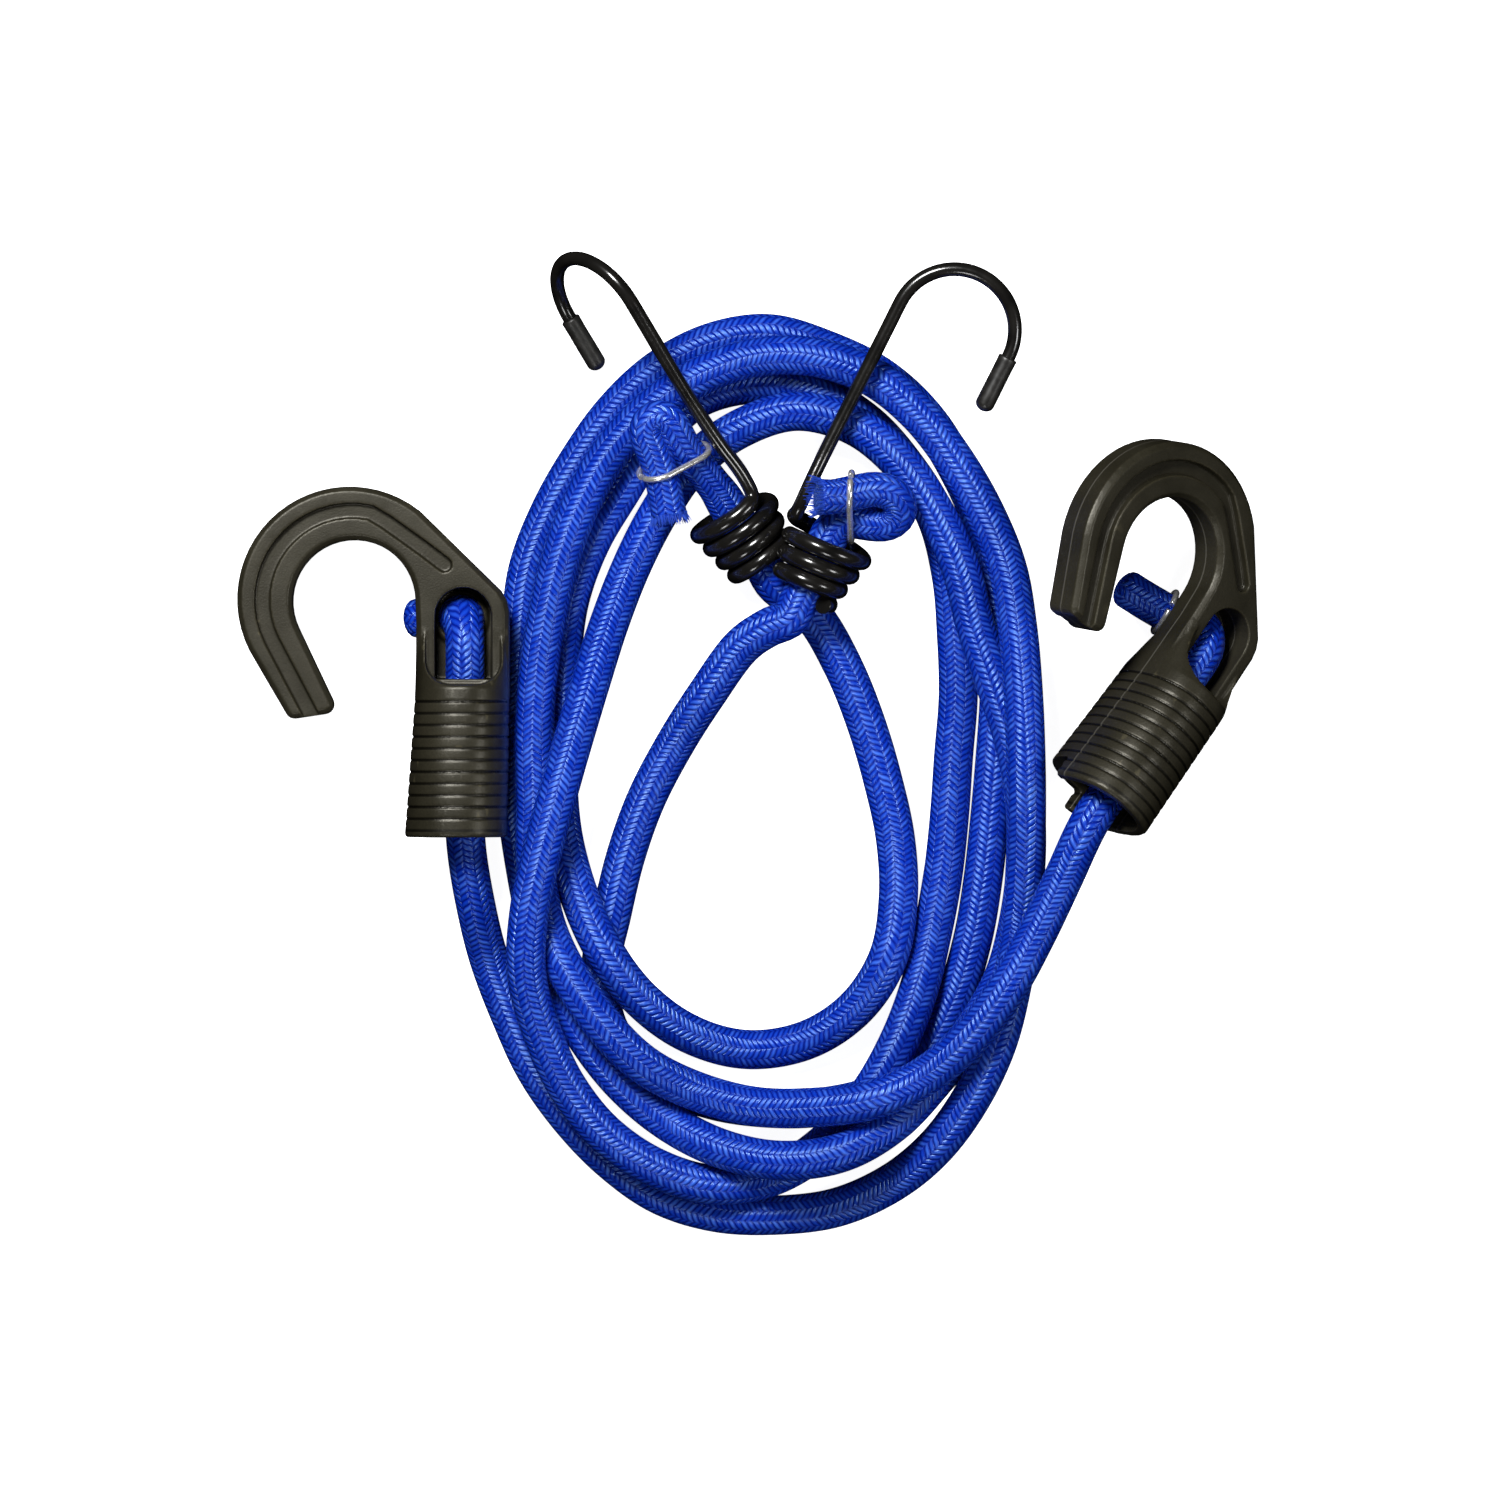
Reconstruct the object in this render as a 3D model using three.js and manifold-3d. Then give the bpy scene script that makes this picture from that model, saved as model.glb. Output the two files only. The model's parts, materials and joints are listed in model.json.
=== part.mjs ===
// Two braided bungee cords coiled together: one with moulded hooks, one with wire hooks.
// Millimetres, +Z up, the floor at z = 0.
import * as THREE from "three";
import Module from "manifold-3d";

const wasm = await Module();
wasm.setup();

// Cord
const CORD_RADIUS = 4.8;
const SHEATH_BORE = 3.75;
const CORE_RADIUS = 3.4;
const CORD_SIDES = 6;
const RING_STEP = 15;
const LAY_GAP = 0.55;
const HUMP_SLOPE = 0.62;
const HUMP_ROUND = 12;
const FLOOR_HEIGHT = CORD_RADIUS * Math.cos(Math.PI / CORD_SIDES);
const KNOT_RADIUS = 4.1;
const KNOT_BORE = 3.2;
const KNOT_CORE = 2.7;
const FOLD_RADIUS = 4.5;
const FOLD_BORE = 3.5;
const FOLD_CORE = 2.95;
const SPLIT_GAP = 0.3;

// Wire hooks
const WIRE_RADIUS = 1.75;
const COIL_WIRE = 1.88;
const WIRE_SIDES = 8;
const COIL_TURNS = 3.6;
const COIL_PITCH = 4.5;
const COIL_BIG = 10.3;
const COIL_SMALL = 7.2;
const COIL_STEPS = 13;
const COIL_BEND = 3.2;
const SHANK_TOP = 59.3;
const BIGHT_RADIUS = 15;
const POINT_LENGTH = 13.2;
const CAP_RADIUS = 2.4;
const CAP_BORE = 2.05;
const CAP_LENGTH = 13.5;

// Steel rings
const RING_WIRE = 0.75;
const RING_CLEAR = 0.35;
const KNOT_SLACK = 0.5;

// Moulded hooks
const BAND_HALF = 5.5;
const BAND_EDGE = 1.2;
const THROAT_RADIUS = 15.25;
const THROAT_CENTRE = [-27.5, 58.5];
const OUTER_RADIUS = 28;
const OUTER_CENTRE = [-28.5, 59];
const HOOK_TURN = 207;
const ARC_STEPS = 26;
const CHANNEL_RADIUS = 22.2;
const CHANNEL_CENTRE = [-28, 58.8];
const CHANNEL_HALF = 1.95;
const CHANNEL_DEPTH = 2;
const WINDOW_HALF = 7.125;
const WINDOW_SILL = 39.25;
const WINDOW_SPRING = 54.9;
const BACK_WALL = 1.1;
const BACK_HOLE = 6.2;
const NOTCH_SIDE = 2;
const NOTCH_FRONT = -3;
const NOTCH_HEIGHT = 5.5;
const BARREL_POINTS = 28;
const RIB_COUNT = 11;
const RIB_FIRST = 4.6;
const RIB_PITCH = 2.9;
const RIB_DEPTH = 0.8;
const NECK_RADIUS = 5;
const SPLIT_AT = 30;

// Middle of the laid-out bundle
const ORIGIN_X = -0.3;
const ORIGIN_Y = 0.37;

// Where the four hooks lie: origin, turn of the axis in plan, its rise and its roll, in degrees
const LEFT_MOULDED = { at: [-70.75, -22.5, 19.8], turn: 90, rise: 0, roll: 0 };
const RIGHT_MOULDED = { at: [86, -15.8, 31], turn: 56, rise: -17, roll: 35 };
const LEFT_WIRE = { at: [-5, 59, 12.8], turn: 121, rise: 12, roll: -60 };
const RIGHT_WIRE = { at: [20.25, 52.4, 22], turn: 63.3, rise: 5, roll: 180 };

// Centre lines in plan, chosen by hand: x, y, and a rank that says which strand lies on top.
const MOULDED_RUN = [
  [-70, -31.5, 0.2], [-67, -44.5, 0.2], [-64, -57, 0.2], [-58, -71, 0.2], [-51, -85, 0.2],
  [-41, -97, 0.2], [-29, -108, 0.2], [-15, -115, 0.2], [2.5, -117, 0.2], [20, -115.5, 0.2],
  [35, -109, 2.3], [48, -97.5, 2.3], [57, -83.5, 2.3], [62.5, -70, 2.4], [66, -53.5, 2.6],
  [68, -36, 2.6], [68.5, -16, 2.6], [68, 6.5, 2.6], [66.7, 26.5, 2.6], [64, 44, 2.6], [57.5, 60, 2.6],
  [48.5, 74.5, 2.6], [38, 86.5, 2.6], [25, 94.5, 2.6], [9, 97.5, 2.6], [-6, 95, 2.6],
  [-20, 87.5, 2.6], [-31.5, 77.5, 2.6], [-40, 64.5, 2.4], [-46, 50.5, 2.2], [-50, 35, 2.2],
  [-52.5, 20.5, 2.2], [-54, 4.5, 2.2], [-54.3, -13.5, 2.2], [-54, -31, 2.2], [-50, -47, 2.6],
  [-40.5, -63.5, 2.8], [-29.5, -76.5, 3], [-15, -85, 3.2], [2.5, -89.5, 3.4], [20, -89, 3.6],
  [35, -86, 3.8], [47.5, -78.5, 4], [59, -66.5, 4.2], [68, -52, 4.4], [75.5, -37, 4.4],
];
const WIRE_RUN = [
  [-11.5, 12, 0.2], [-20.5, -2.5, 0.1], [-28, -18, 0.1],
  [-32.5, -33, 0.1], [-35.5, -47, 0.1], [-37.5, -59.5, 0.1], [-35, -71, 0.1], [-27.5, -79.5, 0.1],
  [-15, -86.5, 0.1], [1, -90, 0.1], [17.5, -90, 0.1], [30, -87.5, 0.1], [40.5, -80, 0.1],
  [48, -69.5, 0.1], [53.5, -56, 0.1], [57, -41, 0.1], [59, -26, 0.1], [60.5, -11, 0.1],
  [61.5, 1.5, 0.1], [62.5, 19, 0.1], [62, 36.5, 0.1], [58.5, 54, 0.1], [51.5, 70, 0.1],
  [42.5, 83.5, 0.1], [28.5, 95, 0.1], [12.5, 101, 0.1], [0, 103.5, 0.1], [-13, 99.5, 0.1],
  [-25, 92.5, 0.1], [-35, 82.5, 0.1], [-44, 69.5, 0.1], [-51.5, 55.5, 0.1], [-55, 46.5, 0.1],
  [-56, 39, 0.1], [-58, 24, 0.1], [-58.5, 6.5, 0.1], [-58.5, -11, 0.1], [-57, -24.5, 0.1],
  [-55, -36, 0.1], [-51, -52, 1.4], [-42.5, -69.5, 2], [-31, -84.5, 2], [-16, -96, 2], [1, -102, 2],
  [17.5, -102, 2], [31.5, -96.5, 2], [42.5, -86.5, 2], [51, -76.5, 2], [59.5, -65, 2], [65.5, -51, 2],
  [68, -36, 2], [69, -23.5, 2], [68, -11, 2], [65.5, 1.5, 2], [61.5, 14, 2], [57, 26.5, 2],
  [52.5, 44, 2], [44, 61.5, 2], [33, 75, 2], [20.5, 82, 2], [6, 83, 2], [-6.5, 76.5, 2.2],
  [-17.5, 67, 2.6], [-25, 54, 3], [-32, 39.5, 3.2], [-37, 24.5, 3.4], [-42, 8, 3.4],
  [-47, -9.5, 3.4], [-51.5, -26, 3.4], [-55, -43.5, 3.4], [-55, -59.5, 3.2], [-49.5, -76, 2.6],
  [-41.5, -90.5, 2.2], [-28.5, -102, 1.4], [-13, -108.5, 1.1], [1, -108.5, 1.1], [12.5, -103.5, 1.1],
  [24, -93.5, 1.1], [33, -81, 1], [40, -66.5, 1], [44, -53, 1], [47, -38.5, 1], [49, -26, 1],
  [50.5, -6, 1], [52, 14, 1], [51, 34, 1], [48.5, 52, 1], [40.5, 67.5, 1], [30, 80, 1], [16.5, 88.2, 1],
  [1, 90.5, 1], [-12, 87.5, 1], [-24, 76.5, 1], [-33.5, 61.5, 1], [-43, 44, 1], [-46.5, 26.5, 1],
  [-47.8, 9, 1], [-48, -6, 1], [-47.5, -17, 1], [-45.5, -27, 1], [-40, -43.5, 1], [-31, -58.5, 1],
  [-19, -69.5, 1], [-2.5, -75.5, 1], [13.5, -73.5, 1], [25.5, -66, 1], [34, -53.5, 1], [37, -37, 1],
  [36, -21, 1], [32.5, -6, 1], [28, 8.5, 1], [22, 22.5, 1],
];

// Folded ends of the wire cord, from the coil's mouth outward: x, y, z.
const LEFT_KNOT = [
  [-7.5, 63, 14], [-11.4, 68.2, 18.2], [-15.3, 73.4, 23], [-18, 79, 26], [-21, 83.2, 27.2],
  [-25, 83, 27.4], [-27.3, 79, 27.2], [-25, 73.5, 26.6], [-22.5, 68, 26], [-21, 62.5, 25.5],
  [-20, 57, 25.2],
];
const RIGHT_KNOT = [
  [20.7, 54.2, 22.2], [23.2, 56.1, 22.2], [28, 55.2, 21.8], [33, 54.2, 21.6], [37, 55.6, 22.6],
  [38.5, 59.6, 25], [35.8, 63.4, 27.4], [30.8, 64.6, 28.2], [25, 63.2, 28.6], [20.5, 62, 29.6],
  [16.5, 62, 30.5],
];
// Folded end in a moulded hook, in the hook's own frame: side, up, front. The right tail is longer.
const FOLD = [
  [0, 30.3, 0], [0, 36, 0], [0, 40, 0.2], [0, 44, 0.7], [0, 47, 0.8], [-0.1, 50, 0.3], [-0.5, 53.4, -2.2],
  [-1.6, 55, -6], [-4.2, 55, -9.8],
];
const FOLD_TAIL = {
  left: [[-8.3, 54.7, -12.2], [-12.8, 54.5, -13]],
  right: [[-8, 54.6, -12.4], [-12.5, 54, -14.6], [-17.5, 53.5, -17]],
};
const FOLD_STEP = 3.6;
const FOLD_RING_SIDE = -7;

const V = (x, y, z) => new THREE.Vector3(x, y, z);
const RAD = Math.PI / 180;

const blue = { color: 0x1438c8, roughness: 0.62, metalness: 0 };
const rubber = { color: 0xd8cdb4, roughness: 0.8, metalness: 0 };
const moulding = { color: 0x23241e, roughness: 0.5, metalness: 0 };
const coating = { color: 0x0b0b0d, roughness: 0.2, metalness: 0 };
const vinyl = { color: 0x121214, roughness: 0.38, metalness: 0 };
const steel = { color: 0xc9ccd0, roughness: 0.25, metalness: 1 };

// A hook's frame: side axis, long axis and front axis as a matrix.
function hookFrame({ at, turn, rise, roll }) {
  const long = V(
    Math.cos(rise * RAD) * Math.cos(turn * RAD),
    Math.cos(rise * RAD) * Math.sin(turn * RAD),
    Math.sin(rise * RAD),
  );
  const level = V(Math.sin(turn * RAD), -Math.cos(turn * RAD), 0);
  const over = level.clone().cross(long);
  const side = level.clone().multiplyScalar(Math.cos(roll * RAD));
  side.addScaledVector(over, -Math.sin(roll * RAD));
  const front = side.clone().cross(long);
  const frame = new THREE.Matrix4().makeBasis(side, long, front);
  frame.setPosition(V(...at));
  return frame;
}

// One closed skin over a list of rings with the same number of points.
function skin(rings, joined) {
  const sides = rings[0].length;
  const points = rings.flat().flatMap((p) => [p.x, p.y, p.z]);
  const index = [];
  const last = joined ? rings.length : rings.length - 1;
  for (let k = 0; k < last; k += 1) {
    const here = k * sides;
    const next = ((k + 1) % rings.length) * sides;
    for (let j = 0; j < sides; j += 1) {
      const i = (j + 1) % sides;
      index.push(here + j, here + i, next + i, here + j, next + i, next + j);
    }
  }
  if (!joined) {
    const end = (rings.length - 1) * sides;
    for (let j = 1; j < sides - 1; j += 1) {
      index.push(0, j + 1, j);
      index.push(end, end + j, end + j + 1);
    }
  }
  const geometry = new THREE.BufferGeometry();
  geometry.setAttribute("position", new THREE.Float32BufferAttribute(points, 3));
  geometry.setIndex(index);
  return geometry;
}

// Cross-sections square to a line of centres, kept level where no other upright is given.
function sections(centres, radius, sides, upright = V(0, 0, 1)) {
  return centres.map((centre, k) => {
    const before = centres[Math.max(k - 1, 0)];
    const after = centres[Math.min(k + 1, centres.length - 1)];
    const along = after.clone().sub(before).normalize();
    const side = upright.clone().cross(along).normalize();
    const up = along.clone().cross(side);
    const r = typeof radius === "function" ? radius(k) : radius;
    return Array.from({ length: sides }, (_, j) => {
      const angle = (2 * Math.PI * j) / sides;
      const p = centre.clone().addScaledVector(side, r * Math.cos(angle));
      return p.addScaledVector(up, r * Math.sin(angle));
    });
  });
}

function rod(centres, radius, sides, upright) {
  return skin(sections(centres, radius, sides, upright), false);
}

function hose(centres, outer, bore, sides, upright) {
  const outside = sections(centres, outer, sides, upright);
  const inside = sections(centres, bore, sides, upright).reverse();
  return skin([...outside, ...inside], true);
}

// Points at equal steps along the smooth curve through a plan list; the rank goes along.
function runRings(list, step) {
  const curve = new THREE.CatmullRomCurve3(list.map((p) => V(p[0], p[1], 0)), false, "centripetal");
  const spans = list.length - 1;
  const fine = [];
  for (let i = 0; i < spans; i += 1) {
    for (let k = 0; k < 16; k += 1) {
      const t = k / 16;
      const p = curve.getPoint((i + t) / spans);
      fine.push({ x: p.x, y: p.y, rank: list[i][2] + t * (list[i + 1][2] - list[i][2]) });
    }
  }
  fine.push({ x: list[spans][0], y: list[spans][1], rank: list[spans][2] });
  const way = [0];
  for (let k = 1; k < fine.length; k += 1) {
    way.push(way[k - 1] + Math.hypot(fine[k].x - fine[k - 1].x, fine[k].y - fine[k - 1].y));
  }
  const total = way[way.length - 1];
  const count = Math.round(total / step);
  const rings = [];
  let at = 0;
  for (let n = 0; n <= count; n += 1) {
    const s = (total * n) / count;
    while (at < fine.length - 2 && way[at + 1] < s) {
      at += 1;
    }
    const t = Math.min(1, (s - way[at]) / (way[at + 1] - way[at]));
    const a = fine[at];
    const b = fine[at + 1];
    rings.push({
      x: a.x + t * (b.x - a.x), y: a.y + t * (b.y - a.y), s,
      rank: a.rank + t * (b.rank - a.rank), z: FLOOR_HEIGHT, need: 0, held: false,
    });
  }
  return rings;
}

// Lays the strands on each other: the higher rank goes over, every pass is a long low hump.
function settle(cords) {
  const beads = [];
  cords.forEach((rings, cord) => {
    for (let k = 0; k < rings.length - 1; k += 1) {
      for (const t of [0, 1 / 3, 2 / 3]) {
        const a = rings[k];
        const b = rings[k + 1];
        beads.push({
          cord, a, b, t, s: a.s + t * (b.s - a.s), rank: a.rank + t * (b.rank - a.rank),
          x: a.x + t * (b.x - a.x), y: a.y + t * (b.y - a.y),
        });
      }
    }
  });
  const reach = 2 * CORD_RADIUS + LAY_GAP;
  const pairs = [];
  for (let i = 0; i < beads.length; i += 1) {
    for (let j = i + 1; j < beads.length; j += 1) {
      const p = beads[i];
      const q = beads[j];
      const near = Math.hypot(p.x - q.x, p.y - q.y);
      const same = p.cord === q.cord && Math.abs(p.s - q.s) < 3 * reach;
      if (near < reach && !same) {
        const lift = Math.sqrt(reach * reach - near * near);
        pairs.push(p.rank >= q.rank ? { upper: p, lower: q, lift } : { upper: q, lower: p, lift });
      }
    }
  }
  const height = (bead) => bead.a.z + bead.t * (bead.b.z - bead.a.z);
  const press = (ring, more) => {
    ring.need = Math.max(ring.need, ring.z + more);
  };
  for (let turn = 0; turn < 200; turn += 1) {
    let worst = 0;
    for (const { upper, lower, lift } of pairs) {
      const short = height(lower) + lift - height(upper);
      if (short > 0.005) {
        worst = Math.max(worst, short);
        const u = 1 - upper.t;
        const share = short / (u * u + upper.t * upper.t);
        press(upper.a, share * u);
        press(upper.b, share * upper.t);
      }
    }
    for (const rings of cords) {
      for (const p of rings.filter((ring) => !ring.held)) {
        for (const q of rings) {
          const hump = HUMP_SLOPE * (Math.hypot(p.s - q.s, HUMP_ROUND) - HUMP_ROUND);
          p.z = Math.max(p.z, (q.held ? q.z : q.need) - hump);
        }
      }
    }
    if (worst < 0.01) {
      break;
    }
  }
}

// Least gap between strands that are not neighbours along the same cord, on points of both lines.
function leastGap(lines) {
  const dots = [];
  lines.forEach(({ centres, radius }, line) => {
    let s = 0;
    for (let k = 0; k < centres.length - 1; k += 1) {
      const length = centres[k].distanceTo(centres[k + 1]);
      for (let n = 0; n < 4; n += 1) {
        const p = centres[k].clone().lerp(centres[k + 1], n / 4);
        dots.push({ line, p, s: s + (length * n) / 4, r: radius(k) });
      }
      s += length;
    }
  });
  let least = { gap: Infinity };
  for (let i = 0; i < dots.length; i += 1) {
    for (let j = i + 1; j < dots.length; j += 1) {
      const a = dots[i];
      const b = dots[j];
      if (a.line === b.line && Math.abs(a.s - b.s) < 24) {
        continue;
      }
      const gap = a.p.distanceTo(b.p) - a.r - b.r;
      if (gap < least.gap) {
        least = { gap, a: a.p, b: b.p };
      }
    }
  }
  return least;
}

// Solids and meshes
function toSolid(geometry) {
  const flat = geometry.index ? geometry.toNonIndexed() : geometry;
  const mesh = new wasm.Mesh({
    numProp: 3,
    vertProperties: new Float32Array(flat.getAttribute("position").array),
    triVerts: Uint32Array.from({ length: flat.getAttribute("position").count }, (_, i) => i),
  });
  mesh.merge();
  return new wasm.Manifold(mesh);
}

function toGeometry(solid) {
  const mesh = solid.getMesh();
  const geometry = new THREE.BufferGeometry();
  const points = [];
  for (let i = 0; i < mesh.numVert; i += 1) {
    points.push(...mesh.position(i));
  }
  geometry.setAttribute("position", new THREE.Float32BufferAttribute(points, 3));
  geometry.setIndex(Array.from(mesh.triVerts));
  return geometry;
}

function part(name, geometry, look) {
  geometry.computeVertexNormals();
  const mesh = new THREE.Mesh(geometry, new THREE.MeshStandardMaterial(look));
  mesh.name = name;
  return mesh;
}

// An oval cross-section of the moulded grip, squarer than an ellipse.
function oval(y, left, right, depth, squareness = 2.4) {
  const mid = (left + right) / 2;
  const half = (right - left) / 2;
  return Array.from({ length: BARREL_POINTS }, (_, j) => {
    const angle = (2 * Math.PI * j) / BARREL_POINTS;
    const c = Math.cos(angle);
    const s = Math.sin(angle);
    const x = Math.sign(c) * Math.abs(c) ** (2 / squareness);
    const z = Math.sign(s) * Math.abs(s) ** (2 / squareness);
    return V(mid + half * x, y, -depth * z);
  });
}

function barrelAt(y, inset = 0) {
  const t = Math.min(y / 34.5, 1);
  return oval(y, -15 + 2.5 * t + inset, 10.5 + 0.5 * t - inset, 16 - 0.6 * t - inset);
}

function barrel() {
  const rings = [barrelAt(0, 0.5), barrelAt(0.6)];
  for (let k = 0; k < RIB_COUNT; k += 1) {
    const y = RIB_FIRST + k * RIB_PITCH;
    rings.push(barrelAt(y - 0.6), barrelAt(y, RIB_DEPTH), barrelAt(y + 0.6));
  }
  rings.push(oval(37, -12.4, 11, 15.2), oval(41, -12.3, 11, 12.6, 2.6));
  rings.push(oval(46, -12.2, 11, 9, 3), oval(52, -12, 11, 6.6, 3.4), oval(58, -11.6, 10.4, 5.2, 4));
  return toSolid(skin(rings, false));
}

function bore() {
  const rings = [oval(-1, -12.6, 8.1, 13.6), oval(12, -11.2, 8.4, 12.8), oval(24, -8.6, 7.8, 10.4, 2.2)];
  rings.push(oval(31, -NECK_RADIUS, NECK_RADIUS, NECK_RADIUS, 2));
  rings.push(oval(41, -NECK_RADIUS, NECK_RADIUS, NECK_RADIUS, 2));
  return toSolid(skin(rings, false));
}

function arc(cx, cy, radius, from, to, steps) {
  return Array.from({ length: steps + 1 }, (_, k) => {
    const angle = (from + ((to - from) * k) / steps) * RAD;
    return [cx + radius * Math.cos(angle), cy + radius * Math.sin(angle)];
  });
}

function slab(points, low, high, edge = 0) {
  const shape = new THREE.Shape(points.map((p) => new THREE.Vector2(p[0], p[1])));
  const geometry = new THREE.ExtrudeGeometry(shape, {
    depth: high - low - 2 * edge, bevelEnabled: edge > 0, bevelSize: edge, bevelThickness: edge,
    bevelOffset: -edge, bevelSegments: 1, steps: 1,
  });
  geometry.translate(0, 0, low + edge);
  return toSolid(geometry);
}

// The channel in the band's face, as a strip along its middle line.
function channel() {
  const line = [
    [-5, 67.6], [-10, 71.4], [-15, 75], [-19.5, 78.2],
    ...arc(...CHANNEL_CENTRE, CHANNEL_RADIUS, 78, HOOK_TURN, 16), [-36.9, 28],
  ];
  const left = [];
  const right = [];
  line.forEach((p, k) => {
    const a = line[Math.max(k - 1, 0)];
    const b = line[Math.min(k + 1, line.length - 1)];
    const size = Math.hypot(b[0] - a[0], b[1] - a[1]);
    const nx = -(b[1] - a[1]) / size;
    const ny = (b[0] - a[0]) / size;
    left.push([p[0] + CHANNEL_HALF * nx, p[1] + CHANNEL_HALF * ny]);
    right.push([p[0] - CHANNEL_HALF * nx, p[1] - CHANNEL_HALF * ny]);
  });
  const heading = Math.atan2(line[1][1] - line[0][1], line[1][0] - line[0][0]) / RAD;
  const roundEnd = arc(...line[0], CHANNEL_HALF, heading - 120, heading - 240, 4);
  return [...left, ...right.reverse(), ...roundEnd];
}

function mouldedHook() {
  const outline = [
    [-12, 32], [11, 32], [11, 56], [10.4, 58.8], [9, 61.2],
    ...arc(...OUTER_CENTRE, OUTER_RADIUS, 52, HOOK_TURN, ARC_STEPS),
    ...arc(-42.3, 31.6, 2.2, 210, 277, 4), ...arc(-35, 33, 2.5, 277, 385, 6),
    ...arc(...THROAT_CENTRE, THROAT_RADIUS, HOOK_TURN, 0, ARC_STEPS), [-12, 52],
  ];
  const sill = [[-0.375 - WINDOW_HALF, WINDOW_SILL], [-0.375 + WINDOW_HALF, WINDOW_SILL]];
  const windowArch = [...sill, ...arc(-0.375, WINDOW_SPRING, WINDOW_HALF, 0, 180, 12)];
  const backHole = arc(-1.2, 54.4, BACK_HOLE, 0, 345, 23);
  const notch = [[-20, -1], [NOTCH_SIDE, -1], [NOTCH_SIDE, NOTCH_HEIGHT], [-20, NOTCH_HEIGHT]];
  const pocket = [
    [-9.7, 64], [-9.7, 45], ...arc(-3.7, 43.7, 6, 180, 270, 6), ...arc(3.2, 43.7, 6, 270, 360, 6), [9.2, 64],
  ];
  const strip = channel();
  let hook = slab(outline, -BAND_HALF, BAND_HALF, BAND_EDGE).add(barrel());
  hook = hook.subtract(bore()).subtract(slab(windowArch, BACK_WALL - BAND_HALF, 30));
  hook = hook.subtract(slab(backHole, -30, 0)).subtract(slab(notch, -20, NOTCH_FRONT));
  hook = hook.subtract(slab(pocket, BAND_HALF, 30)).subtract(slab(pocket, -30, -BAND_HALF));
  hook = hook.subtract(slab(strip, BAND_HALF - CHANNEL_DEPTH, 30));
  return hook.subtract(slab(strip, -30, CHANNEL_DEPTH - BAND_HALF));
}

// Middle line of a wire hook: side, up, front in its own frame, from the cut end of the coil to the point.
function wireLine() {
  const line = [];
  const steps = Math.round(COIL_TURNS * COIL_STEPS);
  for (let k = steps; k >= 0; k -= 1) {
    const turn = k / COIL_STEPS;
    const t = turn / COIL_TURNS;
    const radius = COIL_BIG + (COIL_SMALL - COIL_BIG) * Math.min(1, t * 1.15);
    const angle = 2 * Math.PI * turn;
    line.push(V(radius * Math.cos(angle), -COIL_PITCH * turn, radius * Math.sin(angle)));
  }
  const start = line.pop();
  line.push(V(start.x, 0.35, 0.9));
  for (const t of [0.35, 0.7, 1]) {
    const angle = (Math.PI / 2) * t;
    line.push(V(start.x, 0.35 + COIL_BEND * (1 - Math.cos(angle)), 0.9 - COIL_BEND * Math.sin(angle) * 0.9));
  }
  const low = line[line.length - 1];
  line.push(V(start.x + 0.2, low.y + 5, low.z));
  line.push(V(start.x + 0.4, 18, low.z * 0.4), V(start.x + 0.4, 34, 0), V(start.x + 0.4, SHANK_TOP, 0));
  const mid = start.x + 0.4 - BIGHT_RADIUS;
  for (let k = 1; k <= 12; k += 1) {
    const angle = (Math.PI * k) / 12;
    line.push(V(mid + BIGHT_RADIUS * Math.cos(angle), SHANK_TOP + BIGHT_RADIUS * Math.sin(angle), 0));
  }
  line.push(V(mid - BIGHT_RADIUS, SHANK_TOP - POINT_LENGTH / 2, 0));
  line.push(V(mid - BIGHT_RADIUS, SHANK_TOP - POINT_LENGTH, 0));
  return line;
}

// The coating is thicker on the coil, where it was dipped deeper.
function wireRadius(k) {
  return k < COIL_TURNS * COIL_STEPS - 3 ? COIL_WIRE : WIRE_RADIUS;
}

// Tube along a bent wire, its section carried along without twist.
function bentRod(line, radius, sides) {
  const along = line.map((p, k) => {
    const a = line[Math.max(k - 1, 0)];
    const b = line[Math.min(k + 1, line.length - 1)];
    return b.clone().sub(a).normalize();
  });
  let side = V(0.3, 1, 0.2).cross(along[0]).normalize();
  const rings = line.map((centre, k) => {
    side = side.clone().addScaledVector(along[k], -side.dot(along[k])).normalize();
    const up = along[k].clone().cross(side);
    const r = typeof radius === "function" ? radius(k) : radius;
    return Array.from({ length: sides }, (_, j) => {
      const angle = (2 * Math.PI * j) / sides;
      const p = centre.clone().addScaledVector(side, r * Math.cos(angle));
      return p.addScaledVector(up, r * Math.sin(angle));
    });
  });
  return skin(rings, false);
}

function tipCap() {
  const x = COIL_BIG + 0.4 - 2 * BIGHT_RADIUS;
  const bottom = SHANK_TOP - POINT_LENGTH - 0.5;
  const circle = (y, r) => Array.from({ length: 10 }, (_, j) => {
    const angle = (2 * Math.PI * j) / 10;
    return V(x + r * Math.cos(angle), y, -r * Math.sin(angle));
  });
  const rings = [
    circle(bottom - 1.2, 0.7), circle(bottom - 0.9, 1.6), circle(bottom, CAP_RADIUS),
    circle(bottom + CAP_LENGTH - 0.3, CAP_RADIUS), circle(bottom + CAP_LENGTH, CAP_RADIUS - 0.1),
    circle(bottom + CAP_LENGTH, CAP_BORE), circle(bottom, CAP_BORE),
  ];
  return skin(rings, false);
}

// A clamped steel ring: an open loop of wire round one cord, or round two legs that stand apart.
function clampRing(centre, longAxis, shortAxis, reach, apart) {
  const steps = 20;
  const line = [];
  for (let k = 0; k <= steps; k += 1) {
    const angle = (8 + (344 * k) / steps) * RAD;
    const out = Math.sign(Math.cos(angle)) * (apart / 2) + reach * Math.cos(angle);
    const p = centre.clone().addScaledVector(longAxis, out);
    line.push(p.addScaledVector(shortAxis, reach * Math.sin(angle)));
  }
  return bentRod(line, RING_WIRE, 6);
}

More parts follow.
